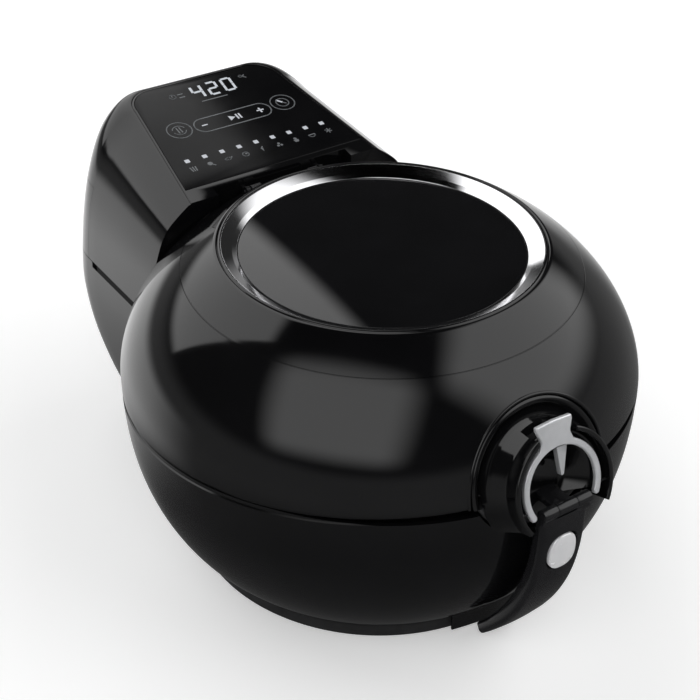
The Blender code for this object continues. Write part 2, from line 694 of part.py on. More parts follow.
def hinge():
    """Pin and two brackets that join the lid's knuckles to the tower."""
    rod("hinge_pin", (-0.0345, HINGE_Y, HINGE_Z), (0.0345, HINGE_Y, HINGE_Z), HINGE_PIN_R, STEEL, 12)
    for side, x in (("left", -0.0315), ("right", 0.0315)):
        inner, outer = x - 0.0015, x + 0.0015
        ear = rod(f"hinge_bracket_{side}", (inner, HINGE_Y, HINGE_Z), (outer, HINGE_Y, HINGE_Z), 0.0030,
                  STEEL, 18)
        foot = box(f"cut_bracket_{side}", (inner, HINGE_Y, HINGE_Z - 0.0100),
                   (outer, WALL_Y - FIT, HINGE_Z + 0.0010))
        combine(ear, foot, "UNION")
        cut(ear, rod(f"cut_ear_{side}", (x - 0.01, HINGE_Y, HINGE_Z), (x + 0.01, HINGE_Y, HINGE_Z),
                     0.0014, sides=12))


# ------------------------------------------------------- latch hub on the lid

def dish(name, matrix):
    """Shallow round dish, flush with the shell at its rim and about 8 mm deep."""
    rim = HUB_RIM_R - 0.0004
    line = [(0.0, -0.0085), (HOOD_R + 0.0015, -0.0085), (rim - 0.0030, 0.0012), (rim, 0.0012),
            (rim, -0.0026), (HOOD_R + 0.002, -0.0105), (0.0, -0.0105)]
    return smooth(turned(name, line, INNER_BLACK, matrix, steps=36, closed=False))


def dishes(tools):
    """Recess around the latch on the lid, and the recess below it around the pan handle."""
    cut(dish("lid_hub_dish", hub_matrix()), tools["below_seam"])
    front = Matrix.Rotation(math.radians(90), 4, "X")
    lower = dish("base_hub_dish", Matrix.Translation(HANDLE_DISH) @ front)
    cut(lower, tools["above_seam"])
    cut(lower, box("cut_handle_notch", (-0.0240, -0.30, 0.1290), (0.0240, -0.12, 0.20)))


def band_outline(outer, inner, low_angle, count=22):
    """A C-shaped band, open at the bottom, as a flat outline."""
    top = arc(outer, low_angle, 180 - low_angle, count)
    return top + arc(inner, 180 - low_angle, low_angle, count)


def hood():
    """Barrel around the latch, open below so that the lid lifts off the pan handle."""
    front = LATCH_OFFSET + 0.0052
    outline = band_outline(HOOD_R, HOOD_R - 0.0032, -34)
    place = hub_matrix()
    barrel = prism("latch_hood", outline, -0.0082, front, GLOSS_BLACK, place)
    cut(barrel, box("cut_finger_notch", (-0.0150, 0.024, 0.0095), (0.0150, 0.05, 0.05), matrix=place))
    cut(barrel, box("cut_hood_heel", (-0.05, -0.05, -0.02), (0.05, 0.004, -0.0010), matrix=place))
    return smooth(barrel, 30)


def lid_latch():
    """Silver C-shaped latch with a flared finger tab on top."""
    place = hub_matrix()
    low, high = LATCH_OFFSET - 0.0012, LATCH_OFFSET + 0.0022
    latch = prism("lid_latch", band_outline(LATCH_R, LATCH_R - LATCH_BAND, -27), low, high,
                  SATIN_SILVER, place)
    tab = [(-0.0105, 0.0265), (0.0105, 0.0265), (0.0105, 0.0330), (0.0140, 0.0385), (0.0140, 0.0425),
           (0.0080, 0.0438), (-0.0080, 0.0438), (-0.0140, 0.0425), (-0.0140, 0.0385), (-0.0105, 0.0330)]
    combine(latch, prism("cut_latch_tab", tab, low + 0.0004, high, matrix=place), "UNION")
    for side in (-1, 1):
        start, end = latch_pivot_ends(side)
        cut(latch, rod(f"cut_latch_bore_{side}", start, end, 0.0011, sides=12))
    return smooth(latch, 30)


def latch_pivot():
    """Height on the hub's face of the pins that the latch swings on."""
    return hub_matrix() @ Vector((0.0, -0.0085, LATCH_OFFSET + 0.0005))


def latch_pivot_ends(side):
    pivot = latch_pivot()
    reach = math.copysign(1.0, side)
    return pivot + Vector((reach * 0.0245, 0.0, 0.0)), pivot + Vector((reach * 0.0385, 0.0, 0.0))


def latch_pins():
    hood_obj = bpy.data.objects["latch_hood"]
    for side, label in ((-1, "left"), (1, "right")):
        pivot = latch_pivot()
        start = pivot + Vector((side * 0.0262, 0.0, 0.0))
        end = pivot + Vector((side * 0.0372, 0.0, 0.0))
        rod(f"latch_pin_{label}", start, end, 0.0009, STEEL, 12)
        cut(hood_obj, rod(f"cut_hood_bore_{label}", start - Vector((side * 0.001, 0, 0)),
                          end + Vector((side * 0.0003, 0, 0)), 0.0011, sides=12))


# ----------------------------------------------------------- pan and its handle

def pan():
    """Round pan with a raised centre tube for the drive shaft."""
    floor, rim_z, wall = PAN_FLOOR_Z, PAN_RIM_Z, PAN_WALL
    line = [(PAN_RIM_R, rim_z), (PAN_RIM_R, rim_z - 0.0018), (0.1215, rim_z - 0.004),
            (0.1105, floor + 0.012), (0.0985, floor), (0.0115, floor), (0.0085, floor + 0.004),
            (0.0065, floor + 0.032), (0.0048, floor + 0.032), (0.0048, floor + 0.034),
            (0.0080, floor + 0.034), (0.0105, floor + 0.006), (0.0135, floor + wall),
            (0.0975, floor + wall), (0.1085, floor + 0.0135), (0.1190, rim_z - 0.002), (0.1195, rim_z)]
    return smooth(turned("pan", line, PAN_COATING, steps=INNER_STEPS))


def pan_bracket():
    """Steel bracket from the pan's wall out to the handle's pivot."""
    y_wall = BODY_Y - PAN_RIM_R
    body = box("pan_bracket", (-0.0075, HANDLE_PIVOT.y, 0.1441), (0.0075, y_wall - 0.0006, 0.1490), STEEL)
    heel = box("cut_bracket_heel", (-0.0140, y_wall - 0.0046, 0.1335), (0.0140, y_wall - 0.0006, 0.1510))
    combine(body, heel, "UNION")
    x = 0.0075
    pivot = HANDLE_PIVOT
    lug = rod("cut_bracket_lug", pivot - Vector((x, 0, 0)), pivot + Vector((x, 0, 0)), 0.0042, sides=20)
    combine(body, lug, "UNION")
    bore = rod("cut_lug_bore", pivot - Vector((0.03, 0, 0)), pivot + Vector((0.03, 0, 0)), 0.0018, sides=14)
    return cut(body, bore)


def handle_path():
    """Outer face of the folded handle as y, z points, from the pivot down to the tail."""
    count = 10
    points = []
    for i in range(count + 1):
        share = i / count
        height = HANDLE_TOP - share * (HANDLE_TOP - 0.0045)
        depth = -0.2371 + 0.0010 * share + 0.0490 * max(share - 0.12, 0.0) ** 2.25 / 0.88 ** 2.25
        points.append((depth, height))
    return points


def handle():
    """Curved lever that folds down over the front, with a pocket for its button."""
    path = handle_path()
    rings = []
    last = len(path) - 1
    for i, (y, z) in enumerate(path):
        before, after = path[max(i - 1, 0)], path[min(i + 1, last)]
        run = Vector((after[0] - before[0], after[1] - before[1])).normalized()
        inward = Vector((-run.y, run.x))
        if inward.x < 0:
            inward = -inward
        share = i / last
        thick = 0.0095 + 0.0030 * math.sin(math.pi * share)
        half = HANDLE_HALF_W - 0.0015 * share
        edge = 0.0030
        section = [(-half, edge), (-half + edge, 0.0), (half - edge, 0.0), (half, edge),
                   (half - 0.0015, thick), (-half + 0.0015, thick)]
        rings.append([(x, y + inward.x * t, z + inward.y * t) for x, t in section])
    lever = loft("pan_handle", rings, GLOSS_BLACK)
    pivot = HANDLE_PIVOT
    for side in (-1, 1):
        inner, outer = side * 0.0082, side * HANDLE_HALF_W
        knuckle = rod(f"cut_handle_knuckle_{side}", pivot + Vector((inner, 0, 0)),
                      pivot + Vector((outer, 0, 0)), 0.0042, sides=20)
        combine(lever, knuckle, "UNION")
        web = box(f"cut_handle_web_{side}", (min(inner, outer), pivot.y - 0.0022, 0.1405),
                  (max(inner, outer), pivot.y + 0.0040, pivot.z))
        combine(lever, web, "UNION")
    cut(lever, rod("cut_handle_bore", pivot - Vector((0.0182, 0, 0)), pivot + Vector((0.0182, 0, 0)),
                   0.0018, sides=14))
    pocket = oval("cut_button_pocket", 0.0124, 0.0148, -0.2450, -0.2305)
    cut(lever, pocket)
    return smooth(lever, 30)


def oval(name, half_w, half_h, y_low, y_high, mat=None):
    """An upright oval plate, flat on Y, centred on the button."""
    outline = [(half_w * math.cos(a),
                half_h * math.sin(a)) for a in (2 * math.pi * i / 24 for i in range(24))]
    rings = [[(x, y, BUTTON_Z + z) for x, z in outline] for y in (y_low, y_high)]
    return loft(name, rings, mat)


def handle_parts():
    pivot = HANDLE_PIVOT
    rod("handle_pin", pivot - Vector((0.0178, 0, 0)), pivot + Vector((0.0178, 0, 0)), 0.0016, STEEL, 14)
    button = oval("handle_button", 0.0120, 0.0144, -0.2378, -0.2341, SATIN_SILVER)
    bevel(button, 0.0010, 2)
    turns, steps = 2, 10
    points = []
    for i in range(turns * steps + 1):
        angle = 2 * math.pi * i / steps
        points.append((0.0042 * math.cos(angle), -0.2336 + 0.0026 * i / (turns * steps),
                       BUTTON_Z + 0.0042 * math.sin(angle)))
    tube("button_spring", points, 0.0003, STEEL)


def front_chin():
    """Raised cradle on the bowl's front, behind the folded handle."""
    rings = []
    count = 9
    for i in range(count + 1):
        height = CHIN_TOP - (CHIN_TOP - 0.0030) * i / count
        surface = BODY_Y - bowl_radius(max(height, FOOT_TOP)) - 0.0006
        if height < FOOT_TOP + 0.002:
            surface = BODY_Y - max(FOOT_R, bowl_radius(FOOT_TOP + 0.002)) - 0.0006
        front = surface - 0.0042
        half = 0.0225
        sag = half * half / (2 * BODY_R)
        rings.append([(-half, surface + sag, height), (-half + 0.003, front + sag, height),
                      (0.0, front, height),
                      (half - 0.003, front + sag, height), (half, surface + sag, height), (0.0, surface,
                                                                                           height)])
    return smooth(loft("front_chin", rings, GLOSS_BLACK), 30)


def paddle():
    """Stirring paddle: a cap over the drive shaft with two low curved blades."""
    floor = PAN_FLOOR_Z + PAN_WALL
    line = [(0.0, floor + 0.0440), (0.0085, floor + 0.0440), (0.0115, floor + 0.0400),
            (0.0125, floor + 0.0320), (0.0160, floor + 0.0008), (0.0142, floor + 0.0008),
            (0.0112, floor + 0.0330), (0.0043, floor + 0.0330), (0.0043, floor + 0.0380),
            (0.0, floor + 0.0380)]
    body = smooth(turned("paddle", line, MATTE_BLACK, steps=28, closed=False))
    for index, spin in enumerate((0.0, 180.0)):
        rings = []
        for i in range(7):
            share = i / 6
            radius = 0.0145 + share * 0.080
            angle = math.radians(spin + 90 + 26 * share)
            radial = Vector((math.cos(angle), math.sin(angle), 0.0))
            side = Vector((-radial.y, radial.x, 0.0))
            base = Vector((0.0, BODY_Y, floor + 0.0009)) + radial * radius
            top = 0.022 - 0.006 * share
            rings.append([base - side * 0.0022, base + side * 0.0022,
                          base + side * 0.0012 + Vector((0, 0, top)),
                          base - side * 0.0012 + Vector((0, 0, top))])
        combine(body, loft(f"cut_blade_{index}", rings), "UNION")
    return body


# ------------------------------------------------------------------- assembly

def moving_groups():
    """Each moving group's name, a point on its joint axis and its pieces."""
    middle = Vector((0.0, BODY_Y, GEAR_Z))
    pinion = middle + Vector((GEAR_DISTANCE, 0.0, 0.0))
    lid = ("lid_shell", "chrome_ring", "lid_window", "window_gasket", "lid_frame", "lid_seal",
           "lid_hub_dish", "latch_hood", "latch_pin_left", "latch_pin_right")
    return (
        ("axis_lid", Vector((0.0, HINGE_Y, HINGE_Z)), lid),
        ("axis_latch", latch_pivot(), ("lid_latch",)),
        ("axis_handle", HANDLE_PIVOT, ("pan_handle", "button_spring")),
        ("axis_button", Vector((0.0, -0.2360, BUTTON_Z)), ("handle_button",)),
        ("axis_paddle", middle, ("drive_gear", "drive_shaft", "paddle")),
        ("axis_pinion", pinion, ("motor_pinion",)),
        ("axis_fan", FAN_CENTRE, ("fan_impeller", "fan_shaft")),
    )


def hang_on_axes():
    """Parent each moving group to an empty that stands on its joint axis."""
    for name, point, pieces in moving_groups():
        empty = bpy.data.objects.new(name, None)
        place = Matrix.Translation(point)
        empty.matrix_world = place
        empty.empty_display_size = 0.02
        MODEL.objects.link(empty)
        for piece in pieces:
            obj = bpy.data.objects[piece]
            obj.parent = empty
            obj.matrix_parent_inverse = place.inverted()


def build():
    clear_scene()
    tools = make_cutters()
    base_shell(tools)
    foot_band()
    base_plate()
    feet()
    pan_well()
    drive()
    tower_cover(tools)
    rear_cover(tools)
    rear_screws()
    control_panel()
    electronics()
    fan_and_heater()
    air_grille()
    cord_gland()
    lid_shell(tools)
    lid_top()
    lid_frame(tools)
    lid_seal()
    hinge()
    dishes(tools)
    hood()
    lid_latch()
    latch_pins()
    pan()
    pan_bracket()
    handle()
    handle_parts()
    front_chin()
    paddle()
    hang_on_axes()


build()
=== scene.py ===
"""Looks of the round countertop air fryer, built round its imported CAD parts.

Metres, in the row frame: +X is the machine's right, -Y its front, and the origin is on the table.
"""

import json
import math

import bmesh
import bpy
from mathutils import Matrix, Vector
from mathutils.bvhtree import BVHTree
from mathutils.interpolate import poly_3d_calc

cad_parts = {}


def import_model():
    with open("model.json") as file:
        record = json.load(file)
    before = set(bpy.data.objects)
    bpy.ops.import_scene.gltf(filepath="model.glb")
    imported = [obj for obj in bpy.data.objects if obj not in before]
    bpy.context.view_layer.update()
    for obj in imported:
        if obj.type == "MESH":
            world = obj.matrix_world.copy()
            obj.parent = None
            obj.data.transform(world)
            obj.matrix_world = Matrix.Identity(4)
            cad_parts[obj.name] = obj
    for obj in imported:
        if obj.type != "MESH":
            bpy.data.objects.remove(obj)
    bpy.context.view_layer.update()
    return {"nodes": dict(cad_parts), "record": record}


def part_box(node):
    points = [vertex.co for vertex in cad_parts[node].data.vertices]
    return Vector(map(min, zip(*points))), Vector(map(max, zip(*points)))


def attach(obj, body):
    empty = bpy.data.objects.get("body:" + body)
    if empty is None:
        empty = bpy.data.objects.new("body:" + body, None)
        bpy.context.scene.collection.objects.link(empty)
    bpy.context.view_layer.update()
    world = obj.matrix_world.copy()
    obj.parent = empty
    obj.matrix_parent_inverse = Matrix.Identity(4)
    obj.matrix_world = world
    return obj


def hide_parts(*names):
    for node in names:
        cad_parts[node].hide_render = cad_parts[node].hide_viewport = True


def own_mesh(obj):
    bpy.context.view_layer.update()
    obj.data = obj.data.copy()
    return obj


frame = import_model()

# Round body: a dome over a bowl, both superellipses turned about a vertical axis
BODY_Y = -0.0335
BODY_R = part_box("base_shell")[1].x
EQUATOR_Z = 0.1434
DOME_RISE, DOME_POWER = 0.1267, 1.85
BOWL_DROP, BOWL_POWER = 0.1755, 2.4
WALL = 0.003
SEAM_Z, SEAM_SLOPE = 0.1375, 0.067
LID_LOW, BASE_HIGH = 0.0004, -0.0008
TRIM_LINE_R = 0.137
FOOT_R, FOOT_TOP = 0.1362, 0.0142

# Lid top, and the cut between lid and tower
RING_OUT_R, RING_OUT_Z = 0.1117, 0.2387
RING_IN_R, RING_IN_Z = 0.0982, 0.2326
WINDOW_R = 0.0978
CUT_Y = 0.0883
WALL_Y = CUT_Y + 0.009
LID_BACK_Y = CUT_Y - 0.0012
SHOULDER_Y, POCKET_HALF_W = CUT_Y + 0.0004, 0.0570

# Tower
TOWER_SPLIT_Z = 0.1434
PANEL_Y, PANEL_Z, PANEL_SLOPE, PANEL_THICK = 0.1651, 0.2470, 0.19, 0.0022
TOWER_FRONT_Y = 0.050
REAR_COVER_Y, REAR_COVER_TOP = 0.1960, 0.2030

# Hub on the front, handle and pan
HUB_TILT = math.radians(20)
HUB_CENTRE = Vector((0.0, -0.2072, 0.1529))
HUB_R = 0.0535
HOOD_R = 0.0385
LATCH_OFFSET, LATCH_R, LATCH_BAND = 0.0226, 0.0306, 0.0046
HANDLE_DISH = Vector((0.0, -0.2080, 0.1690))
HANDLE_PIVOT = Vector((0.0, -0.2342, 0.1477))
HANDLE_HALF_W, HANDLE_TOP = 0.0192, 0.1430
BUTTON_Z = 0.1126
CHIN_TOP = 0.1070
PAN_RIM_R = 0.125

ROUND_STEPS = 192
GAP = 0.0003
FAR = 0.6

# Studio: the rear light is turned a little in its plane, and the floor glows to stay white
REAR_ROLL = 8
FLOOR_GLOW = 0.35
LIGHT_DISTANCE = 5.0


# ------------------------------------------------------------------ materials

def shader_material(name, color, roughness, metallic=0.0):
    mat = bpy.data.materials.new(name)
    mat.use_nodes = True
    shader = mat.node_tree.nodes["Principled BSDF"]
    shader.inputs["Base Color"].default_value = (*color, 1.0)
    shader.inputs["Roughness"].default_value = roughness
    shader.inputs["Metallic"].default_value = metallic
    return mat


def noise(mat, scale, detail=3.0, stretch=(1.0, 1.0, 1.0)):
    """A noise texture in object space, stretched along its axes."""
    nodes, links = mat.node_tree.nodes, mat.node_tree.links
    where = nodes.new("ShaderNodeTexCoord")
    mapping = nodes.new("ShaderNodeMapping")
    mapping.inputs["Scale"].default_value = stretch
    texture = nodes.new("ShaderNodeTexNoise")
    texture.inputs["Scale"].default_value = scale
    texture.inputs["Detail"].default_value = detail
    links.new(where.outputs["Object"], mapping.inputs["Vector"])
    links.new(mapping.outputs["Vector"], texture.inputs["Vector"])
    return texture.outputs["Fac"]


def spread(mat, source, low, high, socket):
    """Drive a shader's number from a texture, between two values."""
    ramp = mat.node_tree.nodes.new("ShaderNodeMapRange")
    ramp.inputs["From Min"].default_value = 0.3
    ramp.inputs["From Max"].default_value = 0.7
    ramp.inputs["To Min"].default_value = low
    ramp.inputs["To Max"].default_value = high
    shader = mat.node_tree.nodes["Principled BSDF"]
    mat.node_tree.links.new(source, ramp.inputs["Value"])
    mat.node_tree.links.new(ramp.outputs["Result"], shader.inputs[socket])


def tint(mat, source, low, high):
    """Drive the base colour from a texture, between two colours."""
    ramp = mat.node_tree.nodes.new("ShaderNodeValToRGB")
    ramp.color_ramp.elements[0].position = 0.3
    ramp.color_ramp.elements[0].color = (*low, 1.0)
    ramp.color_ramp.elements[1].position = 0.7
    ramp.color_ramp.elements[1].color = (*high, 1.0)
    shader = mat.node_tree.nodes["Principled BSDF"]
    mat.node_tree.links.new(source, ramp.inputs["Fac"])
    mat.node_tree.links.new(ramp.outputs["Color"], shader.inputs["Base Color"])


def relief(mat, source, strength, distance):
    bump = mat.node_tree.nodes.new("ShaderNodeBump")
    bump.inputs["Strength"].default_value = strength
    bump.inputs["Distance"].default_value = distance
    shader = mat.node_tree.nodes["Principled BSDF"]
    mat.node_tree.links.new(source, bump.inputs["Height"])
    mat.node_tree.links.new(bump.outputs["Normal"], shader.inputs["Normal"])


def varied(name, low, high, rough, metallic=0.0, grain=40.0, bump=(900.0, 0.1, 0.00005),
           stretch=(1.0, 1.0, 1.0)):
    """A material whose colour, roughness and relief all vary a little over the surface."""
    mat = shader_material(name, low, rough[0], metallic)
    tint(mat, noise(mat, grain, 4.0, stretch), low, high)
    spread(mat, noise(mat, grain * 2.3, 3.0, stretch), rough[0], rough[1], "Roughness")
    relief(mat, noise(mat, bump[0], 2.0, stretch), bump[1], bump[2])
    return mat


GLOSS_BLACK = varied("gloss_black", (0.0030, 0.0030, 0.0033), (0.0045, 0.0045, 0.0050), (0.060, 0.085),
                     grain=18.0, bump=(60.0, 0.01, 0.00001))
HANDLE_BLACK = varied("handle_black", (0.006, 0.006, 0.007), (0.010, 0.010, 0.011), (0.10, 0.18),
                      grain=30.0, bump=(500.0, 0.05, 0.00004))
MATTE_BLACK = varied("matte_black", (0.010, 0.010, 0.011), (0.020, 0.020, 0.021), (0.48, 0.62),
                     grain=90.0, bump=(2600.0, 0.35, 0.00008))
INNER_BLACK = varied("inner_black", (0.016, 0.016, 0.017), (0.028, 0.028, 0.030), (0.38, 0.52),
                     grain=70.0, bump=(1900.0, 0.25, 0.00007))
CHROME = varied("chrome", (0.80, 0.80, 0.82), (0.88, 0.88, 0.89), (0.07, 0.11), 1.0,
                grain=25.0, bump=(260.0, 0.03, 0.00003))
SATIN_SILVER = varied("satin_silver", (0.70, 0.71, 0.73), (0.80, 0.81, 0.83), (0.28, 0.36), 0.55,
                      grain=80.0, bump=(2400.0, 0.10, 0.00004))
BUTTON_SILVER = varied("button_silver", (0.84, 0.84, 0.86), (0.92, 0.92, 0.93), (0.20, 0.28), 0.30,
                       grain=80.0, bump=(2400.0, 0.10, 0.00004))
STEEL = varied("steel", (0.48, 0.48, 0.49), (0.62, 0.62, 0.63), (0.22, 0.36), 1.0,
               grain=120.0, bump=(1400.0, 0.15, 0.00004), stretch=(1.0, 1.0, 14.0))
# Steel coloured near black: painted shade on the hinge brackets and pins, which sit in shaded gaps between parts.
PAINTED_SHADE_STEEL = varied("painted_shade_steel", (0.010, 0.010, 0.011), (0.018, 0.018, 0.019), (0.30, 0.42), 0.6,
                        grain=120.0, bump=(1400.0, 0.15, 0.00004), stretch=(1.0, 1.0, 8.0))
RUBBER = varied("rubber", (0.018, 0.018, 0.018), (0.034, 0.034, 0.034), (0.72, 0.88),
                grain=120.0, bump=(2200.0, 0.4, 0.0001))
SILICONE = varied("silicone", (0.15, 0.15, 0.155), (0.20, 0.20, 0.205), (0.5, 0.62),
                  grain=60.0, bump=(1500.0, 0.2, 0.00006))
PAN_COATING = varied("pan_coating", (0.035, 0.035, 0.036), (0.085, 0.085, 0.088), (0.30, 0.46), 0.3,
                     grain=900.0, bump=(1300.0, 0.3, 0.00006))
BOARD_GREEN = varied("board_green", (0.012, 0.10, 0.045), (0.03, 0.19, 0.085), (0.34, 0.5),
                     grain=260.0, bump=(700.0, 0.3, 0.0001), stretch=(1.0, 4.0, 1.0))
NYLON = varied("nylon", (0.72, 0.72, 0.67), (0.82, 0.82, 0.78), (0.42, 0.55),
               grain=90.0, bump=(1200.0, 0.15, 0.00005))
PANEL_GLASS = varied("panel_glass", (0.0030, 0.0030, 0.0035), (0.0045, 0.0045, 0.005), (0.16, 0.22),
                     grain=22.0, bump=(120.0, 0.02, 0.00002))
PANEL_GLASS.node_tree.nodes["Principled BSDF"].inputs["Specular IOR Level"].default_value = 0.14


def smoked_glass():
    mat = varied("smoked_glass", (0.010, 0.010, 0.011), (0.016, 0.016, 0.018), (0.012, 0.022),
                 grain=14.0, bump=(20.0, 0.01, 0.00001))
    shader = mat.node_tree.nodes["Principled BSDF"]
    shader.inputs["Transmission Weight"].default_value = 0.6
    shader.inputs["IOR"].default_value = 1.5
    return mat


def glow(name, color, strength):
    """Printed or lit marks behind the panel, a little uneven."""
    mat = varied(name, tuple(c * 0.85 for c in color), color, (0.3, 0.4), grain=400.0)
    shader = mat.node_tree.nodes["Principled BSDF"]
    shader.inputs["Emission Color"].default_value = (*color, 1.0)
    shader.inputs["Emission Strength"].default_value = strength
    return mat


SMOKED_GLASS = smoked_glass()
DIGIT_GLOW = glow("digit_glow", (0.50, 0.53, 0.57), 0.40)
MARK_BRIGHT = glow("mark_bright", (0.50, 0.52, 0.56), 0.34)
MARK_DIM = glow("mark_dim", (0.16, 0.17, 0.18), 0.05)


# ----------------------------------------------------------------- mesh basics

def new_object(name, mesh, mat=None):
    obj = bpy.data.objects.new(name, mesh)
    bpy.context.scene.collection.objects.link(obj)
    if mat is not None:
        mesh.materials.clear()
        mesh.materials.append(mat)
    return obj


def mesh_of(name, points, faces):
    mesh = bpy.data.meshes.new(name)
    mesh.from_pydata([tuple(p) for p in points], [], faces)
    mesh.validate()
    bm = bmesh.new()
    bm.from_mesh(mesh)
    bmesh.ops.remove_doubles(bm, verts=bm.verts[:], dist=1e-7)
    bmesh.ops.recalc_face_normals(bm, faces=bm.faces[:])
    bm.to_mesh(mesh)
    bm.free()
    return mesh


def shade(obj, angle=32):
    obj.data.shade_smooth()
    obj.data.set_sharp_from_angle(angle=math.radians(angle))
    return obj


def applied(obj):
    """Replace an object's mesh by its mesh with every modifier applied."""
    graph = bpy.context.evaluated_depsgraph_get()
    mesh = bpy.data.meshes.new_from_object(obj.evaluated_get(graph))
    obj.modifiers.clear()
    obj.data = mesh
    return obj


def rounded_edges(obj, width, segments=3, angle=35):
    mod = obj.modifiers.new("rounded_edges", "BEVEL")
    mod.width = width
    mod.segments = segments
    mod.limit_method = "ANGLE"
    mod.angle_limit = math.radians(angle)
    mod.harden_normals = False
    return applied(obj)


def grid_solid(name, rows, mat=None, ring=True, loop=True):
    """Join rows of points into quads. Ring closes each row and loop joins the last row to the first."""
    count = len(rows[0])
    points = [p for row in rows for p in row]
    faces = []
    last_row = len(rows) if loop else len(rows) - 1
    last_col = count if ring else count - 1
    for i in range(last_row):
        a, b = i * count, ((i + 1) % len(rows)) * count
        for j in range(last_col):
            k = (j + 1) % count
            faces.append((a + j, a + k, b + k, b + j))
    if not loop:
        faces.append(tuple(range(count)))
        faces.append(tuple(range((len(rows) - 1) * count, len(rows) * count)))
    return new_object(name, mesh_of(name, points, faces), mat)


def fillet(corners, steps=5, closed=True):
    """Round a flat outline's corners, given as x, y and the radius of each corner."""
    out = []
    count = len(corners)
    for i, (x, y, radius) in enumerate(corners):
        here = Vector((x, y))
        ends = not closed and i in (0, count - 1)
        if radius <= 0 or ends:
            out.append((x, y))
            continue
        before = Vector(corners[i - 1][:2]) - here
        after = Vector(corners[(i + 1) % count][:2]) - here
        angle = before.angle(after)
        reach = min(radius / math.tan(angle / 2), before.length * 0.49, after.length * 0.49)
        start, end = here + before.normalized() * reach, here + after.normalized() * reach
        for k in range(steps + 1):
            t = k / steps
            out.append(tuple(start * (1 - t) ** 2 + here * (2 * t * (1 - t)) + end * t ** 2))
    return out


def lathe(name, profile, mat=None, matrix=None, steps=ROUND_STEPS):
    """Turn a closed outline of radius and height about local Z."""
    matrix = matrix or Matrix.Translation((0.0, BODY_Y, 0.0))
    rows = []
    for radius, height in profile:
        row = []
        for i in range(steps):
            angle = 2 * math.pi * i / steps
            row.append(matrix @ Vector((radius * math.cos(angle), radius * math.sin(angle), height)))
        rows.append(row)
    return shade(grid_solid(name, rows, mat))


def box_solid(name, low, high, matrix=None):
    matrix = matrix or Matrix.Identity(4)
    corners = [[matrix @ Vector((x, y, z)) for x, y in ((low[0], low[1]), (high[0], low[1]),
               (high[0], high[1]), (low[0], high[1]))] for z in (low[2], high[2])]
    return grid_solid(name, corners, loop=False)


def plate(name, outline, low, high, mat=None, matrix=None, edge=0.0, segments=3):
    """Extrude a flat outline along local Z and round its edges."""
    matrix = matrix or Matrix.Identity(4)
    rows = [[matrix @ Vector((x, y, z)) for x, y in outline] for z in (low, high)]
    obj = grid_solid(name, rows, mat, loop=False)
    if edge:
        rounded_edges(obj, edge, segments)
    return shade(obj)


def bar(name, start, end, radius, mat=None, edge=0.0, steps=40):
    """A round bar between two points, with rounded ends."""
    start, end = Vector(start), Vector(end)
    span = end - start
    place = Matrix.Translation(start) @ span.to_track_quat("Z", "X").to_matrix().to_4x4()
    profile = fillet([(0.0, 0.0, 0.0), (radius, 0.0, edge), (radius, span.length, edge),
                      (0.0, span.length, 0.0)], 4)
    return lathe(name, profile, mat, place, steps)


class Guide:
    """Remembers a smooth surface, so that cuts don't disturb how it shades."""

    def __init__(self, obj, flip=False):
        mesh = obj.data
        self.points = [v.co.copy() for v in mesh.vertices]
        self.normals = [v.normal.copy() for v in mesh.vertices]
        self.faces = [tuple(p.vertices) for p in mesh.polygons]
        self.tree = BVHTree.FromPolygons(self.points, self.faces)
        self.sign = -1.0 if flip else 1.0

    def normal(self, point, face_normal):
        hit, _, index, distance = self.tree.find_nearest(point)
        if hit is None or distance > 0.00003:
            return None
        face = self.faces[index]
        weights = poly_3d_calc([self.points[i] for i in face], hit)
        blend = Vector((0.0, 0.0, 0.0))
        for i, weight in zip(face, weights):
            blend += self.normals[i] * weight
        blend = blend.normalized() * self.sign
        return blend if blend.dot(face_normal) > 0.9 else None


def boolean(obj, operation, tool):
    """Join or cut an object with a tool, and remove the tool."""
    mod = obj.modifiers.new("boolean", "BOOLEAN")
    mod.operation = operation
    mod.solver = "EXACT"
    mod.object = tool
    applied(obj)
    bpy.data.objects.remove(tool)


def carve(obj, steps, guides, angle=32):
    """Apply a list of Boolean steps, then shade what is left of each guide's surface as before."""
    for operation, tool in steps:
        mod = obj.modifiers.new("carve", "BOOLEAN")
        mod.operation = operation
        mod.solver = "EXACT"
        mod.object = tool
    applied(obj)
    for _, tool in steps:
        if tool.users_collection:
            bpy.data.objects.remove(tool)
    shade(obj, angle)
    mesh = obj.data
    normals = [Vector(n.vector) for n in mesh.corner_normals]
    for face in mesh.polygons:
        for corner in face.loop_indices:
            point = mesh.vertices[mesh.loops[corner].vertex_index].co
            for guide in guides:
                found = guide.normal(point, face.normal)
                if found is not None:
                    normals[corner] = found
                    break
    mesh.normals_split_custom_set([tuple(n) for n in normals])
    return obj


def place_piece(obj, body, slot, *nodes):
    """Let a piece ride on a body and stand for its CAD nodes; its slot argument is not used."""
    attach(obj, body)
    if nodes:
        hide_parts(*nodes)
    return obj


# --------------------------------------------------------------- body surfaces

def body_point(theta, phi, inset=0.0):
    """A point of the round body; phi runs from its top through the equator to its bottom."""
    upper = phi <= math.pi / 2
    power, height = (DOME_POWER, DOME_RISE) if upper else (BOWL_POWER, BOWL_DROP)
    across, along = math.sin(phi), abs(math.cos(phi))
    radius = BODY_R * across ** (2 / power)
    rise = height * along ** (2 / power)
    lean_r = (radius / BODY_R) ** (power - 1) / BODY_R
    lean_z = (rise / height) ** (power - 1) / height
    sign = 1.0 if upper else -1.0
    length = math.hypot(lean_r, lean_z)
    radius -= inset * lean_r / length
    z = EQUATOR_Z + sign * (rise - inset * lean_z / length)
    return Vector((radius * math.cos(theta), BODY_Y + radius * math.sin(theta), z))


def dome_phi(radius):
    """Phi of the dome where it has a radius."""
    return math.asin((radius / BODY_R) ** (DOME_POWER / 2))


def bowl_phi(height):
    """Phi of the bowl at a height."""
    return math.pi - math.acos(((EQUATOR_Z - height) / BOWL_DROP) ** (BOWL_POWER / 2))


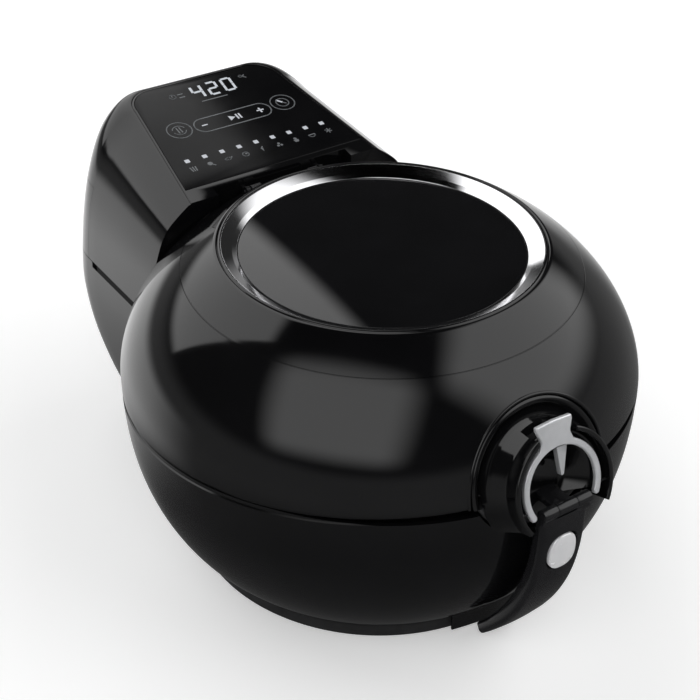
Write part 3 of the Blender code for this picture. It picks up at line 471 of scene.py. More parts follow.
def seam_height(y, offset=0.0):
    return SEAM_Z - SEAM_SLOPE * (y - BODY_Y) + offset


def seam_phi(theta, offset):
    """Phi at which the body meets the tilted seam plane."""
    low, high = math.radians(60), math.radians(120)
    for _ in range(40):
        middle = (low + high) / 2
        point = body_point(theta, middle)
        if point.z > seam_height(point.y, offset):
            low = middle
        else:
            high = middle
    return (low + high) / 2


def seam_matrix():
    tilt = Matrix.Rotation(-math.atan(SEAM_SLOPE), 4, "X")
    return Matrix.Translation((0.0, BODY_Y, SEAM_Z)) @ tilt


def hub_matrix():
    """Local +Z runs out of the hub, local +X is the machine's +X and local +Y points up."""
    out = Vector((0.0, -math.cos(HUB_TILT), math.sin(HUB_TILT)))
    side = Vector((1.0, 0.0, 0.0))
    turn = Matrix((side, out.cross(side), out)).transposed().to_4x4()
    return Matrix.Translation(HUB_CENTRE) @ turn


def dish_matrix():
    """Frame of the dish below the hub, whose local +Z points straight forwards."""
    return Matrix.Translation(HANDLE_DISH) @ Matrix.Rotation(math.radians(90), 4, "X")


def thetas():
    """Angles round the body, half a step off its middle plane."""
    return [2 * math.pi * (i + 0.5) / ROUND_STEPS for i in range(ROUND_STEPS)]


def body_row(phi_at, inset=0.0):
    return [body_point(theta, phi_at(theta), inset) for theta in thetas()]


def round_cutter(name, radius, low, high, matrix, steps=ROUND_STEPS):
    return lathe(name, [(0.0, low), (radius, low), (radius, high), (0.0, high)], matrix=matrix, steps=steps)


# ------------------------------------------------------------------------- lid

def lid_dome():
    """Dome with its fine trim line, a rolled lower lip, a back wall and an inner skin."""
    top = dome_phi(RING_OUT_R + 0.0006)
    line = dome_phi(TRIM_LINE_R)
    step = 0.00045 / BODY_R
    lip = 0.0012
    ends = {theta: seam_phi(theta, LID_LOW) for theta in thetas()}
    back = lip / BODY_R

    def between(start, share):
        return lambda theta: start + (ends[theta] - back - start) * share

    rows = [body_row(lambda theta: top, 0.0006), body_row(lambda theta: top + 0.003)]
    rows += [body_row(lambda theta, k=k: top + (line - step - top) * k / 12) for k in range(1, 12)]
    for shift, depth in ((-1.0, 0.0), (-0.45, 0.0004), (0.45, 0.0004), (1.0, 0.0)):
        rows.append(body_row(lambda theta, s=shift: line + s * step, depth))
    rows += [body_row(between(line + step, k / 44)) for k in range(1, 45)]
    for k in range(1, 5):
        angle = math.radians(90 * k / 4)
        reach = back * math.sin(angle)
        rows.append(body_row(lambda theta, r=reach: ends[theta] - back + r, lip * (1 - math.cos(angle))))
    rows.append(body_row(lambda theta: ends[theta], WALL))
    rows += [body_row(lambda theta, k=k: ends[theta] + (top - ends[theta]) * k / 24,
                      WALL) for k in range(1, 25)]
    dome = grid_solid("lid_dome", rows, GLOSS_BLACK)
    guides = [Guide(dome)]
    back_wall = box_solid("cut_lid_behind", (-FAR, LID_BACK_Y, -FAR), (FAR, FAR, FAR))
    hole = round_cutter("cut_hub", HUB_R, -0.05, 0.06, hub_matrix())
    carve(dome, [("DIFFERENCE", back_wall), ("DIFFERENCE", hole)], guides)
    return place_piece(dome, "lid", "gloss_black", "lid_shell")


def chrome_ring():
    """Broad dished chrome ring inside a black rolled lip."""
    out_r, out_z, in_r, in_z = RING_OUT_R - 0.0026, RING_OUT_Z - 0.0003, RING_IN_R, RING_IN_Z
    profile = fillet([
        (in_r, in_z - 0.0022, 0.0), (in_r, in_z, 0.0006), (in_r + 0.0035, in_z + 0.0022, 0.006),
        (out_r, out_z, 0.0002), (out_r, out_z - 0.0030, 0.0)], 6)
    ring = lathe("chrome_bezel", profile, CHROME, steps=256)
    place_piece(ring, "lid", "chrome", "chrome_ring")
    in_lip, out_lip = out_r + 0.0001, RING_OUT_R + 0.0010
    lip = lathe("bezel_lip", fillet([
        (in_lip, out_z - 0.0030, 0.0), (in_lip, RING_OUT_Z, 0.0005), (RING_OUT_R - 0.0010, RING_OUT_Z,
                                                                      0.0018),
        (out_lip, RING_OUT_Z - 0.0022, 0.0006), (out_lip - 0.0012, RING_OUT_Z - 0.0042,
                                                 0.0)], 6), GLOSS_BLACK, steps=256)
    return place_piece(lip, "lid", "gloss_black")


def window():
    top = RING_IN_Z - 0.0004
    profile = fillet([(0.0, top, 0.0), (WINDOW_R, top, 0.0005), (WINDOW_R, top - 0.004, 0.0003),
                      (0.0, top - 0.004, 0.0)], 5)
    glass = lathe("window_glass", profile, SMOKED_GLASS, steps=256)
    return place_piece(glass, "lid", "smoked_glass", "lid_window")


# ----------------------------------------------------------------------- tower

# Each level: height at PANEL_Y, slope along Y, half width at PANEL_Y, narrowing
# along Y, rear Y, corner radius, and how much the rear stands above the sides.
TOWER_LEVELS = (
    (0.0146, 0.00, 0.0970, 0.00, 0.2010, 0.046, 0.000),
    (0.0370, 0.00, 0.1050, 0.00, 0.2170, 0.042, 0.000),
    (0.0740, 0.00, 0.1115, 0.00, 0.2335, 0.040, 0.000),
    (0.1100, 0.00, 0.1150, 0.00, 0.2395, 0.040, 0.000),
    (0.1380, 0.00, 0.1150, 0.00, 0.2405, 0.042, 0.000),
    (0.1780, 0.01, 0.1120, 0.01, 0.2400, 0.046, 0.000),
    (0.2050, 0.06, 0.1050, 0.03, 0.2380, 0.042, 0.002),
    (0.2250, 0.13, 0.0950, 0.07, 0.2350, 0.036, 0.005),
    (0.2385, 0.19, 0.0820, 0.12, 0.2290, 0.028, 0.004),
    (0.2470, 0.19, 0.0690, 0.14, 0.2225, 0.022, 0.000),
)


def tower_ring(level, inset=0.0, front=TOWER_FRONT_Y, drop=0.0, corner_steps=14, side_steps=10):
    """One closed outline round the tower, moved inwards by inset and down by drop."""
    height, slope, half_w, taper, rear, corner, rear_rise = level
    rear -= inset
    corner = max(corner - inset, 0.004)
    corner_y = rear - corner

    def width_at(y):
        return half_w - inset - taper * (y - PANEL_Y)

    right = []
    for i in range(side_steps):
        y = front + (corner_y - front) * i / side_steps
        right.append((width_at(y), y, 0.0))
    for i in range(corner_steps + 1):
        angle = math.radians(90 * i / corner_steps)
        x = width_at(corner_y) - corner + corner * math.cos(angle)
        right.append((x, corner_y + corner * math.sin(angle), math.sin(angle)))
    left = [(-x, y, rise) for x, y, rise in reversed(right)]
    return [Vector((x, y, height - drop + slope * (y - PANEL_Y) + rear_rise * rise)) for x, y,
            rise in right + left]


def blended_levels(between=5):
    """The tower's levels with smooth levels between them."""
    levels = []
    last = len(TOWER_LEVELS) - 1
    for i in range(last):
        a, b = TOWER_LEVELS[max(i - 1, 0)], TOWER_LEVELS[i]
        c, d = TOWER_LEVELS[i + 1], TOWER_LEVELS[min(i + 2, last)]
        for k in range(between):
            t = k / between
            mixed = []
            for p, q, r, s in zip(a, b, c, d):
                curve = 2 * q + (r - p) * t + (2 * p - 5 * q + 4 * r - s) * t ** 2 + (3 * q - p - 3 * r + s) * t ** 3
                mixed.append(0.5 * curve)
            levels.append(tuple(mixed))
    levels.append(TOWER_LEVELS[-1])
    return levels


def tower_solid(name, inset=0.0, low=0.0, high=0.0, crown=0.0):
    """The whole tower as one solid; low and high move its ends, and crown rounds its top edge."""
    rings = [tower_ring(level, inset) for level in blended_levels()]
    rings[0] = [p - Vector((0.0, 0.0, low)) for p in rings[0]]
    top = TOWER_LEVELS[-1]
    if crown:
        rings[-1] = tower_ring(top, inset, drop=crown)
        for k in range(1, 5):
            angle = math.radians(90 * k / 4)
            rings.append(tower_ring(top, inset + crown * (1 - math.cos(angle)),
                                    drop=crown * (1 - math.sin(angle))))
    else:
        rings[-1] = tower_ring(top, inset, drop=-high)
    return grid_solid(name, rings, loop=False)


def body_solid(name, inset, low_z):
    """The round body as one closed solid, down to a height."""
    start = dome_phi(0.02)
    end = bowl_phi(low_z)
    rows = [[Vector((0.0, BODY_Y, body_point(0.0, start, inset).z))] * ROUND_STEPS]
    rows += [body_row(lambda theta, k=k: start + (end - start) * k / 90, inset) for k in range(91)]
    rows.append([Vector((0.0, BODY_Y, body_point(0.0, end, inset).z))] * ROUND_STEPS)
    return grid_solid(name, rows, loop=False)


def clean_poles(obj):
    """Drop the empty caps that rows of equal points leave behind."""
    bm = bmesh.new()
    bm.from_mesh(obj.data)
    bmesh.ops.remove_doubles(bm, verts=bm.verts[:], dist=1e-6)
    bmesh.ops.dissolve_degenerate(bm, edges=bm.edges[:], dist=1e-7)
    bmesh.ops.recalc_face_normals(bm, faces=bm.faces[:])
    bm.to_mesh(obj.data)
    bm.free()
    return obj


def body_and_tower(name, inset, low_z, crown=0.0, low=0.0, high=0.0):
    """The round body and the tower as two separate solids, each cleaned at its poles."""
    body = clean_poles(body_solid(f"{name}_body", inset, low_z))
    tower = clean_poles(tower_solid(f"{name}_tower", inset, low, high, crown))
    return body, tower


def base_bowl():
    """Lower bowl and lower tower in one open shell, with a shadow band under the seam."""
    body, tower = body_and_tower("base", 0.0, FOOT_TOP + 2 * GAP)
    hollow_body, hollow_tower = body_and_tower("base_in", WALL, FOOT_TOP - 0.006, low=0.03)
    guides = [Guide(body), Guide(tower), Guide(hollow_body, True), Guide(hollow_tower, True)]
    upper = box_solid("cut_split", (-FAR, -FAR, TOWER_SPLIT_Z), (FAR, FAR, FAR))
    front = box_solid("cut_front", (-FAR, -FAR, BASE_HIGH), (FAR, CUT_Y - BODY_Y + 0.0015, FAR),
                      seam_matrix())
    band = shadow_band_cutter()
    dish = round_cutter("cut_dish", HUB_R, -0.06, 0.06, dish_matrix())
    steps = [("UNION", tower), ("DIFFERENCE", hollow_body), ("DIFFERENCE", hollow_tower),
             ("DIFFERENCE", upper),
             ("DIFFERENCE", front), ("DIFFERENCE", band), ("DIFFERENCE", dish)]
    for side in (-1, 1):
        low = (side * 0.1185 - 0.0055, 0.1200, TOWER_SPLIT_Z - 0.0048)
        high = (side * 0.1185 + 0.0055, 0.1905, TOWER_SPLIT_Z + 0.01)
        steps.append(("DIFFERENCE", box_solid(f"cut_groove_{side}", low, high)))
    steps.append(("DIFFERENCE", gland_hole()))
    body.name = "body_bowl"
    body.data.materials.append(GLOSS_BLACK)
    carve(body, steps, guides)
    body.data.materials.clear()
    body.data.materials.append(GLOSS_BLACK)
    return place_piece(body, "base", "gloss_black", "base_shell")


def shadow_band_cutter():
    """A ring that sinks the top of the bowl a little, so that the lid overhangs it."""
    depth, tall, slope = 0.0010, 0.0034, 0.0008
    starts = {theta: seam_phi(theta, 0.004) for theta in thetas()}
    edges = {theta: seam_phi(theta, -tall) for theta in thetas()}
    lows = {theta: seam_phi(theta, -tall - slope) for theta in thetas()}
    rows = [body_row(lambda theta: starts[theta], depth), body_row(lambda theta: edges[theta], depth),
            body_row(lambda theta: lows[theta], -0.0002), body_row(lambda theta: lows[theta], -0.002),
            body_row(lambda theta: starts[theta], -0.002)]
    return grid_solid("cut_band", rows)


def gland_point(outwards):
    """A point on the gland's axis, measured from the tower's sloping back wall."""
    lower, upper = TOWER_LEVELS[1], TOWER_LEVELS[2]
    middle = Vector((-0.045, (lower[4] + upper[4]) / 2, (lower[0] + upper[0]) / 2))
    normal = Vector((0.0, upper[0] - lower[0], lower[4] - upper[4])).normalized()
    return middle + normal * outwards


def gland_hole():
    return bar("cut_gland", gland_point(-0.02), gland_point(0.02), 0.0074)


def cover_solid(name, extra_steps):
    """Upper tower with the fixed shoulders of the dome behind the lid, open below."""
    body, tower = body_and_tower(name, 0.0, EQUATOR_Z - 0.03, crown=0.0010)
    hollow_body, hollow_tower = body_and_tower(f"{name}_in", WALL, EQUATOR_Z - 0.035, high=-WALL)
    guides = [Guide(body), Guide(tower), Guide(hollow_body, True), Guide(hollow_tower, True)]
    keep = WALL_Y + WALL
    steps = [("UNION", tower),
             ("DIFFERENCE", box_solid(f"{name}_front", (-FAR, -FAR, -FAR), (FAR, SHOULDER_Y, FAR))),
             ("DIFFERENCE",
              box_solid(f"{name}_low", (-FAR, -FAR, -FAR), (FAR, FAR, TOWER_SPLIT_Z + 2 * GAP)))]
    boolean(hollow_body, "UNION", hollow_tower)
    boolean(hollow_body, "DIFFERENCE", box_solid(f"{name}_wall", (-FAR, -FAR, -FAR), (FAR, keep, FAR)))
    steps.append(("DIFFERENCE", hollow_body))
    body.name = name
    carve(body, steps + extra_steps, guides)
    body.data.materials.clear()
    body.data.materials.append(GLOSS_BLACK)
    return body


def panel_outline(inset, drop):
    return tower_ring(TOWER_LEVELS[-1], inset, front=WALL_Y + 0.0035 + inset, drop=drop, corner_steps=20)


def tower_cover():
    recess = grid_solid("cut_panel", [panel_outline(0.0016, PANEL_THICK + GAP),
                                      panel_outline(0.0016, -0.01)], loop=False)
    rear = box_solid("cut_rear", (-0.3, REAR_COVER_Y - GAP, 0.0), (0.3, 0.4, REAR_COVER_TOP + GAP))
    air = box_solid("cut_air", (-POCKET_HALF_W, CUT_Y - 0.03, 0.1), (POCKET_HALF_W, WALL_Y, 0.30))
    vent = box_solid("cut_vent", (-0.045, CUT_Y - 0.03, 0.150), (0.045, CUT_Y + 0.03, 0.185))
    cover = cover_solid("tower_hood", [("DIFFERENCE", recess), ("DIFFERENCE", rear),
                                       ("DIFFERENCE", air), ("DIFFERENCE", vent)])
    return place_piece(cover, "base", "gloss_black", "tower_cover")


def rear_cover():
    keep = box_solid("cut_keep", (-0.3, REAR_COVER_Y, 0.0), (0.3, 0.4, REAR_COVER_TOP))
    steps = [("INTERSECT", keep)]
    for row in range(6):
        height = 0.1565 + row * 0.0075
        outline = fillet([(-0.040, height, 0.0015), (0.040, height, 0.0015),
                          (0.040, height + 0.0032, 0.0015),
                          (-0.040, height + 0.0032, 0.0015)], 4)
        turn = Matrix.Rotation(math.radians(90), 4, "X")
        steps.append(("DIFFERENCE", plate(f"cut_vent_{row}", outline, -0.3, -0.2, matrix=turn)))
    cover = cover_solid("rear_panel", steps)
    return place_piece(cover, "base", "gloss_black", "rear_cover")


# ----------------------------------------------------------------------- panel

def panel_matrix(y):
    """Frame on the panel's surface: local Z is its normal and local Y runs up the slope."""
    height = PANEL_Z + PANEL_SLOPE * (y - PANEL_Y)
    return Matrix.Translation((0.0, y, height)) @ Matrix.Rotation(math.atan(PANEL_SLOPE), 4, "X")


def touch_panel():
    rows = [panel_outline(0.0020, PANEL_THICK), panel_outline(0.0020, 0.0)]
    glass = grid_solid("touch_panel", rows, PANEL_GLASS, loop=False)
    rounded_edges(glass, 0.0004, 3)
    shade(glass)
    return place_piece(glass, "base", "panel_glass", "control_panel")


class Marks:
    """Collects flat printed shapes on the panel and makes them one thin piece."""

    def __init__(self, centre_y):
        self.matrix = panel_matrix(centre_y)
        self.points = []
        self.faces = []

    def shape(self, outline):
        start = len(self.points)
        low, high = -0.00002, 0.00008
        for z in (low, high):
            self.points += [self.matrix @ Vector((x, y, z)) for x, y in outline]
        count = len(outline)
        self.faces.append(tuple(start + i for i in reversed(range(count))))
        self.faces.append(tuple(start + count + i for i in range(count)))
        for i in range(count):
            j = (i + 1) % count
            self.faces.append((start + i, start + j, start + count + j, start + count + i))

    def line(self, points, width, closed=False):
        """A stroke of even width through points."""
        count = len(points)
        steps = count if closed else count - 1
        for i in range(steps):
            a, b = Vector(points[i]), Vector(points[(i + 1) % count])
            if (b - a).length < 1e-9:
                continue
            along = (b - a).normalized() * width * 0.35
            side = Vector((-(b - a).y, (b - a).x)).normalized() * width / 2
            self.shape([tuple(a - along - side), tuple(b + along - side), tuple(b + along + side),
                        tuple(a - along + side)])

    def ring(self, centre, radius, width, start=0, end=360, steps=40):
        closed = end - start == 360
        count = steps if closed else steps + 1
        angles = [math.radians(start + (end - start) * i / steps) for i in range(count)]
        points = [(centre[0] + radius * math.cos(a), centre[1] + radius * math.sin(a)) for a in angles]
        self.line(points, width, closed)

    def disc(self, centre, radius, steps=20):
        angles = [2 * math.pi * i / steps for i in range(steps)]
        self.shape([(centre[0] + radius * math.cos(a), centre[1] + radius * math.sin(a)) for a in angles])

    def finish(self, name, mat):
        mesh = bpy.data.meshes.new(name)
        mesh.from_pydata([tuple(p) for p in self.points], [], self.faces)
        return place_piece(new_object(name, mesh, mat), "base", "panel_glass")


SEGMENTS = {
    "a": ((0, 2), (1, 2)), "b": ((1, 2), (1, 1)), "c": ((1, 1), (1, 0)), "d": ((1, 0), (0, 0)),
    "e": ((0, 0), (0, 1)), "f": ((0, 1), (0, 2)), "g": ((0, 1), (1, 1)),
}
DIGITS = {"4": "fgbc", "2": "abged", "0": "abcdef"}
DISPLAY_Y = 0.2044
DIAL_Y = 0.1668
PILL_Y = 0.1650
DIAL_X, DIAL_R = 0.0452, 0.0096
LAMP_Y, LAMP_SPAN = 0.1317, 0.0583
ICON_Y = 0.1218


def display_digits():
    """Three slanted seven-segment digits."""
    marks = Marks(DISPLAY_Y)
    wide, tall, width = 0.0078, 0.0075, 0.0021
    for index, digit in enumerate("420"):
        left = -0.0130 + index * 0.0135
        for segment in DIGITS[digit]:
            ends = []
            for u, v in SEGMENTS[segment]:
                pull = 0.12
                u = u + (0.5 - u) * pull if segment in "adg" else u
                ends.append((left + u * wide + 0.10 * v * tall, (v - 1) * tall))
            a, b = Vector(ends[0]), Vector(ends[1])
            inward = (b - a).normalized() * width * 0.45
            marks.line([tuple(a + inward), tuple(b - inward)], width)
    marks.finish("display_digits", DIGIT_GLOW)


def display_symbols():
    """Dim unit marks and pointers beside the digits."""
    marks = Marks(DISPLAY_Y)
    marks.ring((-0.0295, 0.0015), 0.0026, 0.0009)
    marks.line([(-0.0295, 0.0015), (-0.0295, 0.0033)], 0.0008)
    marks.line([(-0.0245, -0.0015), (-0.0205, -0.0015)], 0.0011)
    marks.line([(-0.0245, 0.0025), (-0.0205, 0.0025)], 0.0011)
    marks.ring((0.0330, 0.0055), 0.0013, 0.0008, steps=16)
    marks.line([(0.0365, 0.0065), (0.0345, 0.0045), (0.0365, 0.0025)], 0.0009)
    marks.line([(-0.0110, -0.0125), (0.0110, -0.0125)], 0.0010)
    marks.finish("display_symbols", MARK_DIM)


def pill_key():
    """Long key outline with its minus, start and plus signs."""
    outline = Marks(PILL_Y)
    half, radius, width = 0.0328, 0.0082, 0.0010
    path = []
    for centre, start in ((half - radius, -90), (-half + radius, 90)):
        for i in range(17):
            angle = math.radians(start + 180 * i / 16)
            path.append((centre + radius * math.cos(angle), radius * math.sin(angle)))
    outline.line(path, width, closed=True)
    outline.finish("pill_outline", MARK_DIM)
    signs = Marks(PILL_Y)
    signs.line([(-0.0265, 0.0), (-0.0225, 0.0)], 0.0012)
    signs.line([(0.0215, 0.0), (0.0265, 0.0)], 0.0014)
    signs.line([(0.0240, -0.0025), (0.0240, 0.0025)], 0.0014)
    signs.shape([(-0.0030, -0.0030), (0.0020, 0.0), (-0.0030, 0.0030)])
    for x in (0.0036, 0.0062):
        signs.line([(x, -0.0026), (x, 0.0026)], 0.0014)
    signs.finish("pill_signs", MARK_BRIGHT)


def dial_keys():
    """Round keys on each side of the long key: a paddle and a clock."""
    marks = Marks(DIAL_Y)
    for side in (-1, 1):
        marks.ring((side * DIAL_X, 0.0), DIAL_R, 0.0009, steps=48)
    left = -DIAL_X
    marks.ring((left, 0.0), 0.0052, 0.0008, 20, 160, 14)
    marks.ring((left, 0.0), 0.0052, 0.0008, 200, 340, 14)
    marks.line([(left - 0.0012, -0.0032), (left - 0.0012, 0.0032)], 0.0009)
    marks.line([(left + 0.0012, -0.0032), (left + 0.0012, 0.0032)], 0.0009)
    marks.ring((DIAL_X, 0.0), 0.0050, 0.0009, steps=28)
    marks.line([(DIAL_X + 0.0022, -0.0020), (DIAL_X, 0.0)], 0.0009)
    marks.finish("dial_keys", MARK_DIM)
    hand = Marks(DIAL_Y)
    hand.line([(DIAL_X - 0.0030, 0.0040), (DIAL_X - 0.0002, 0.0005)], 0.0016)
    hand.finish("dial_hand", MARK_BRIGHT)


def programme_lamps():
    """A row of nine lamps, each with a plain pictogram of a dish under it."""
    lamps = Marks(LAMP_Y)
    icons = Marks(ICON_Y)
    for index in range(9):
        x = LAMP_SPAN * (index / 4 - 1)
        half = 0.0019
        lamps.shape(fillet([(x - half, -half, 0.0005), (x + half, -half, 0.0005), (x + half, half, 0.0005),
                            (x - half, half, 0.0005)], 2))
        pictogram(icons, x, index)
    lamps.finish("programme_lamps", MARK_BRIGHT)
    icons.finish("programme_icons", MARK_DIM)


def pictogram(marks, x, index):
    """Nine simple food signs: sticks, leg, fish, steak, vegetable, nuggets, dessert, bowl and snowflake."""
    width = 0.0009
    if index == 0:
        for k in (-1, 0, 1):
            marks.line([(x + k * 0.0016, -0.0024), (x + k * 0.0022, 0.0024)], width)
    elif index == 1:
        marks.disc((x - 0.0006, 0.0008), 0.0020, 14)
        marks.line([(x + 0.0006, -0.0006), (x + 0.0024, -0.0024)], width)
    elif index == 2:
        marks.ring((x, -0.0016), 0.0034, width, 40, 140, 10)
        marks.ring((x, 0.0026), 0.0034, width, 220, 320, 10)
        marks.line([(x + 0.0024, 0.0004), (x + 0.0036, 0.0018)], width)
    elif index == 3:
        marks.ring((x, 0.0), 0.0024, width, steps=18)
        marks.disc((x + 0.0006, 0.0004), 0.0009, 10)
    elif index == 4:
        marks.shape([(x - 0.0010, 0.0018), (x + 0.0010, 0.0018), (x, -0.0028)])
        marks.line([(x, 0.0018), (x + 0.0014, 0.0032)], width)
    elif index == 5:
        for dx, dy in ((-0.0014, -0.0010), (0.0014, -0.0010), (0.0, 0.0014)):
            marks.disc((x + dx, dy), 0.0011, 10)
    elif index == 6:
        marks.shape([(x - 0.0022, 0.0), (x + 0.0022, 0.0), (x + 0.0014, -0.0026), (x - 0.0014, -0.0026)])
        marks.disc((x, 0.0014), 0.0013, 12)
    elif index == 7:
        marks.ring((x, 0.0006), 0.0026, width, 180, 360, 14)
        marks.line([(x - 0.0028, 0.0008), (x + 0.0028, 0.0008)], width)
    else:
        for k in range(3):
            angle = math.radians(60 * k + 30)
            dx, dy = 0.0027 * math.cos(angle), 0.0027 * math.sin(angle)
            marks.line([(x - dx, -dy), (x + dx, dy)], width * 0.8)


# ------------------------------------------------------------------------- hub

def hub_lip():
    """Rolled lip round the opening that the latch hub stands in."""
    rows = []
    matrix = hub_matrix()
    steps = 168
    radius = 0.0013
    path = []
    for i in range(steps):
        angle = 2 * math.pi * i / steps
        side = Vector((math.cos(angle), math.sin(angle), 0.0))
        path.append((angle, surface_on_hub(matrix, side * (HUB_R + 0.0002))))
    for angle, point in path:
        out = (matrix.to_3x3() @ Vector((math.cos(angle), math.sin(angle), 0.0))).normalized()
        up = body_normal(point)
        out = (out - up * out.dot(up)).normalized()
        middle = point - up * (radius * 0.45)
        rows.append([middle + (out * math.cos(a) + up * math.sin(a)) * radius
                     for a in (2 * math.pi * k / 14 for k in range(14))])
    lip = grid_solid("hub_lip", rows, GLOSS_BLACK)
    below = box_solid("cut_lip_low", (-FAR, -FAR, -FAR), (FAR, FAR, LID_LOW), seam_matrix())
    carve(lip, [("DIFFERENCE", below)], [Guide(lip)])
    return place_piece(lip, "lid", "gloss_black")


def body_level(point):
    """How far a point is outside the round body, as a plain number that is zero on its surface."""
    radius = math.hypot(point.x, point.y - BODY_Y) / BODY_R
    rise = point.z - EQUATOR_Z
    power, height = (DOME_POWER, DOME_RISE) if rise >= 0 else (BOWL_POWER, BOWL_DROP)
    return radius ** power + (abs(rise) / height) ** power - 1.0


def body_normal(point):
    step = 0.0001
    slope = []
    for axis in range(3):
        shift = Vector((0.0, 0.0, 0.0))
        shift[axis] = step
        slope.append(body_level(point + shift) - body_level(point - shift))
    return Vector(slope).normalized()


def surface_on_hub(matrix, flat):
    """Where a line parallel to a hub's axis meets the round body."""
    low, high = -0.06, 0.06
    for _ in range(50):
        middle = (low + high) / 2
        if body_level(matrix @ (flat + Vector((0.0, 0.0, middle)))) > 0:
            high = middle
        else:
            low = middle
    return matrix @ (flat + Vector((0.0, 0.0, (low + high) / 2)))


def dish_profile(rim):
    return fillet([
        (0.0, -0.0085, 0.0), (HOOD_R + 0.0020, -0.0085, 0.004), (rim - 0.0042, 0.0006, 0.002),
        (rim - 0.0018, 0.0018, 0.0018), (rim, 0.0006, 0.0010), (rim, -0.0026, 0.0006),
        (HOOD_R + 0.002, -0.0108, 0.001), (0.0, -0.0108, 0.0)], 6)


def hub_dishes():
    """The moulded dish round the latch and the lower dish round the pan handle."""
    rim = HUB_R - 0.0014
    upper = lathe("hub_dish", dish_profile(rim), GLOSS_BLACK, hub_matrix())
    guide = Guide(upper)
    below = box_solid("cut_dish_low", (-FAR, -FAR, -FAR), (FAR, FAR, LID_LOW), seam_matrix())
    carve(upper, [("DIFFERENCE", below)], [guide])
    place_piece(upper, "lid", "inner_black", "lid_hub_dish")
    lower = lathe("handle_dish", dish_profile(rim), INNER_BLACK, dish_matrix())
    guide = Guide(lower)
    above = box_solid("cut_dish_high", (-FAR, -FAR, BASE_HIGH), (FAR, FAR, FAR), seam_matrix())
    notch = box_solid("cut_dish_notch", (-0.0240, -0.30, 0.1290), (0.0240, -0.12, 0.20))
    carve(lower, [("DIFFERENCE", above), ("DIFFERENCE", notch)], [guide])
    place_piece(lower, "base", "inner_black", "base_hub_dish")


def arc(radius, start, end, count, centre=(0.0, 0.0)):
    """Points along a circular arc, with the angles in degrees."""
    steps = [math.radians(start + (end - start) * i / count) for i in range(count + 1)]
    return [(centre[0] + radius * math.cos(a), centre[1] + radius * math.sin(a)) for a in steps]


def swept_band(name, section, start, end, mat, matrix, steps=110):
    """Sweep a closed section of radius and height along an arc about local Z, with closed ends."""
    rows = []
    for i in range(steps + 1):
        angle = math.radians(start + (end - start) * i / steps)
        rows.append([matrix @ Vector((r * math.cos(angle), r * math.sin(angle), z)) for r, z in section])
    return grid_solid(name, rows, mat, ring=True, loop=False)


def latch_hood():
    """Barrel round the latch, open below, with a soft front edge and a notch for the finger tab."""
    front = LATCH_OFFSET + 0.0052
    inner = HOOD_R - 0.0032
    section = fillet([(inner, -0.0080, 0.0), (HOOD_R + 0.0082, -0.0080, 0.0),
                      (HOOD_R + 0.0080, -0.0056, 0.002),
                      (HOOD_R + 0.0034, 0.0060, 0.012), (HOOD_R, 0.0170, 0.010), (HOOD_R, front, 0.0022),
                      (inner, front, 0.0008)], 8)
    hood = swept_band("latch_barrel", section, -34, 214, GLOSS_BLACK, hub_matrix())
    guide = Guide(shade(hood))
    notch = fillet([(-0.0150, 0.020, 0.0), (0.0150, 0.020, 0.0), (0.0150, 0.06, 0.0), (-0.0150, 0.06, 0.0)])
    tool = plate("cut_hood_notch", notch, 0.0095, 0.05, matrix=hub_matrix())
    heel = box_solid("cut_hood_heel", (-0.05, -0.05, -0.02), (0.05, 0.004, -0.0010), hub_matrix())
    carve(hood, [("DIFFERENCE", tool), ("DIFFERENCE", heel)], [guide])
    return place_piece(hood, "lid", "gloss_black", "latch_hood")


def latch_ring():
    """Silver C with round ends, flaring into a finger tab at the top."""
    low, high = LATCH_OFFSET - 0.0012, LATCH_OFFSET + 0.0024
    inner = LATCH_R - LATCH_BAND
    middle, half = (LATCH_R + inner) / 2, LATCH_BAND / 2
    end_angle = -27
    outer_arc = arc(LATCH_R, end_angle, 64, 40)
    tab_right = fillet([(0.0118, 0.0282, 0.0), (0.0116, 0.0335, 0.0050), (0.0142, 0.0405, 0.0016),
                        (0.0140, 0.0432, 0.0014), (0.0, 0.0444, 0.05)], 6, closed=False)
    right = outer_arc + tab_right[1:-1]
    left = [(-x, y) for x, y in reversed(right)]
    round_left = arc(half, 180 - end_angle, 360 - end_angle, 8, polar(middle, 180 - end_angle))
    round_right = arc(half, end_angle + 180, end_angle + 360, 8, polar(middle, end_angle))
    inner_arc = arc(inner, 180 - end_angle, end_angle, 80)
    outline = right + [(0.0, 0.0440)] + left + round_left[1:-1] + inner_arc + round_right[1:-1]
    latch = plate("latch_ring", outline, low, high, SATIN_SILVER, hub_matrix(), 0.0011, 4)
    return place_piece(latch, "latch", "satin_silver", "lid_latch")


def polar(radius, degrees):
    return (radius * math.cos(math.radians(degrees)), radius * math.sin(math.radians(degrees)))


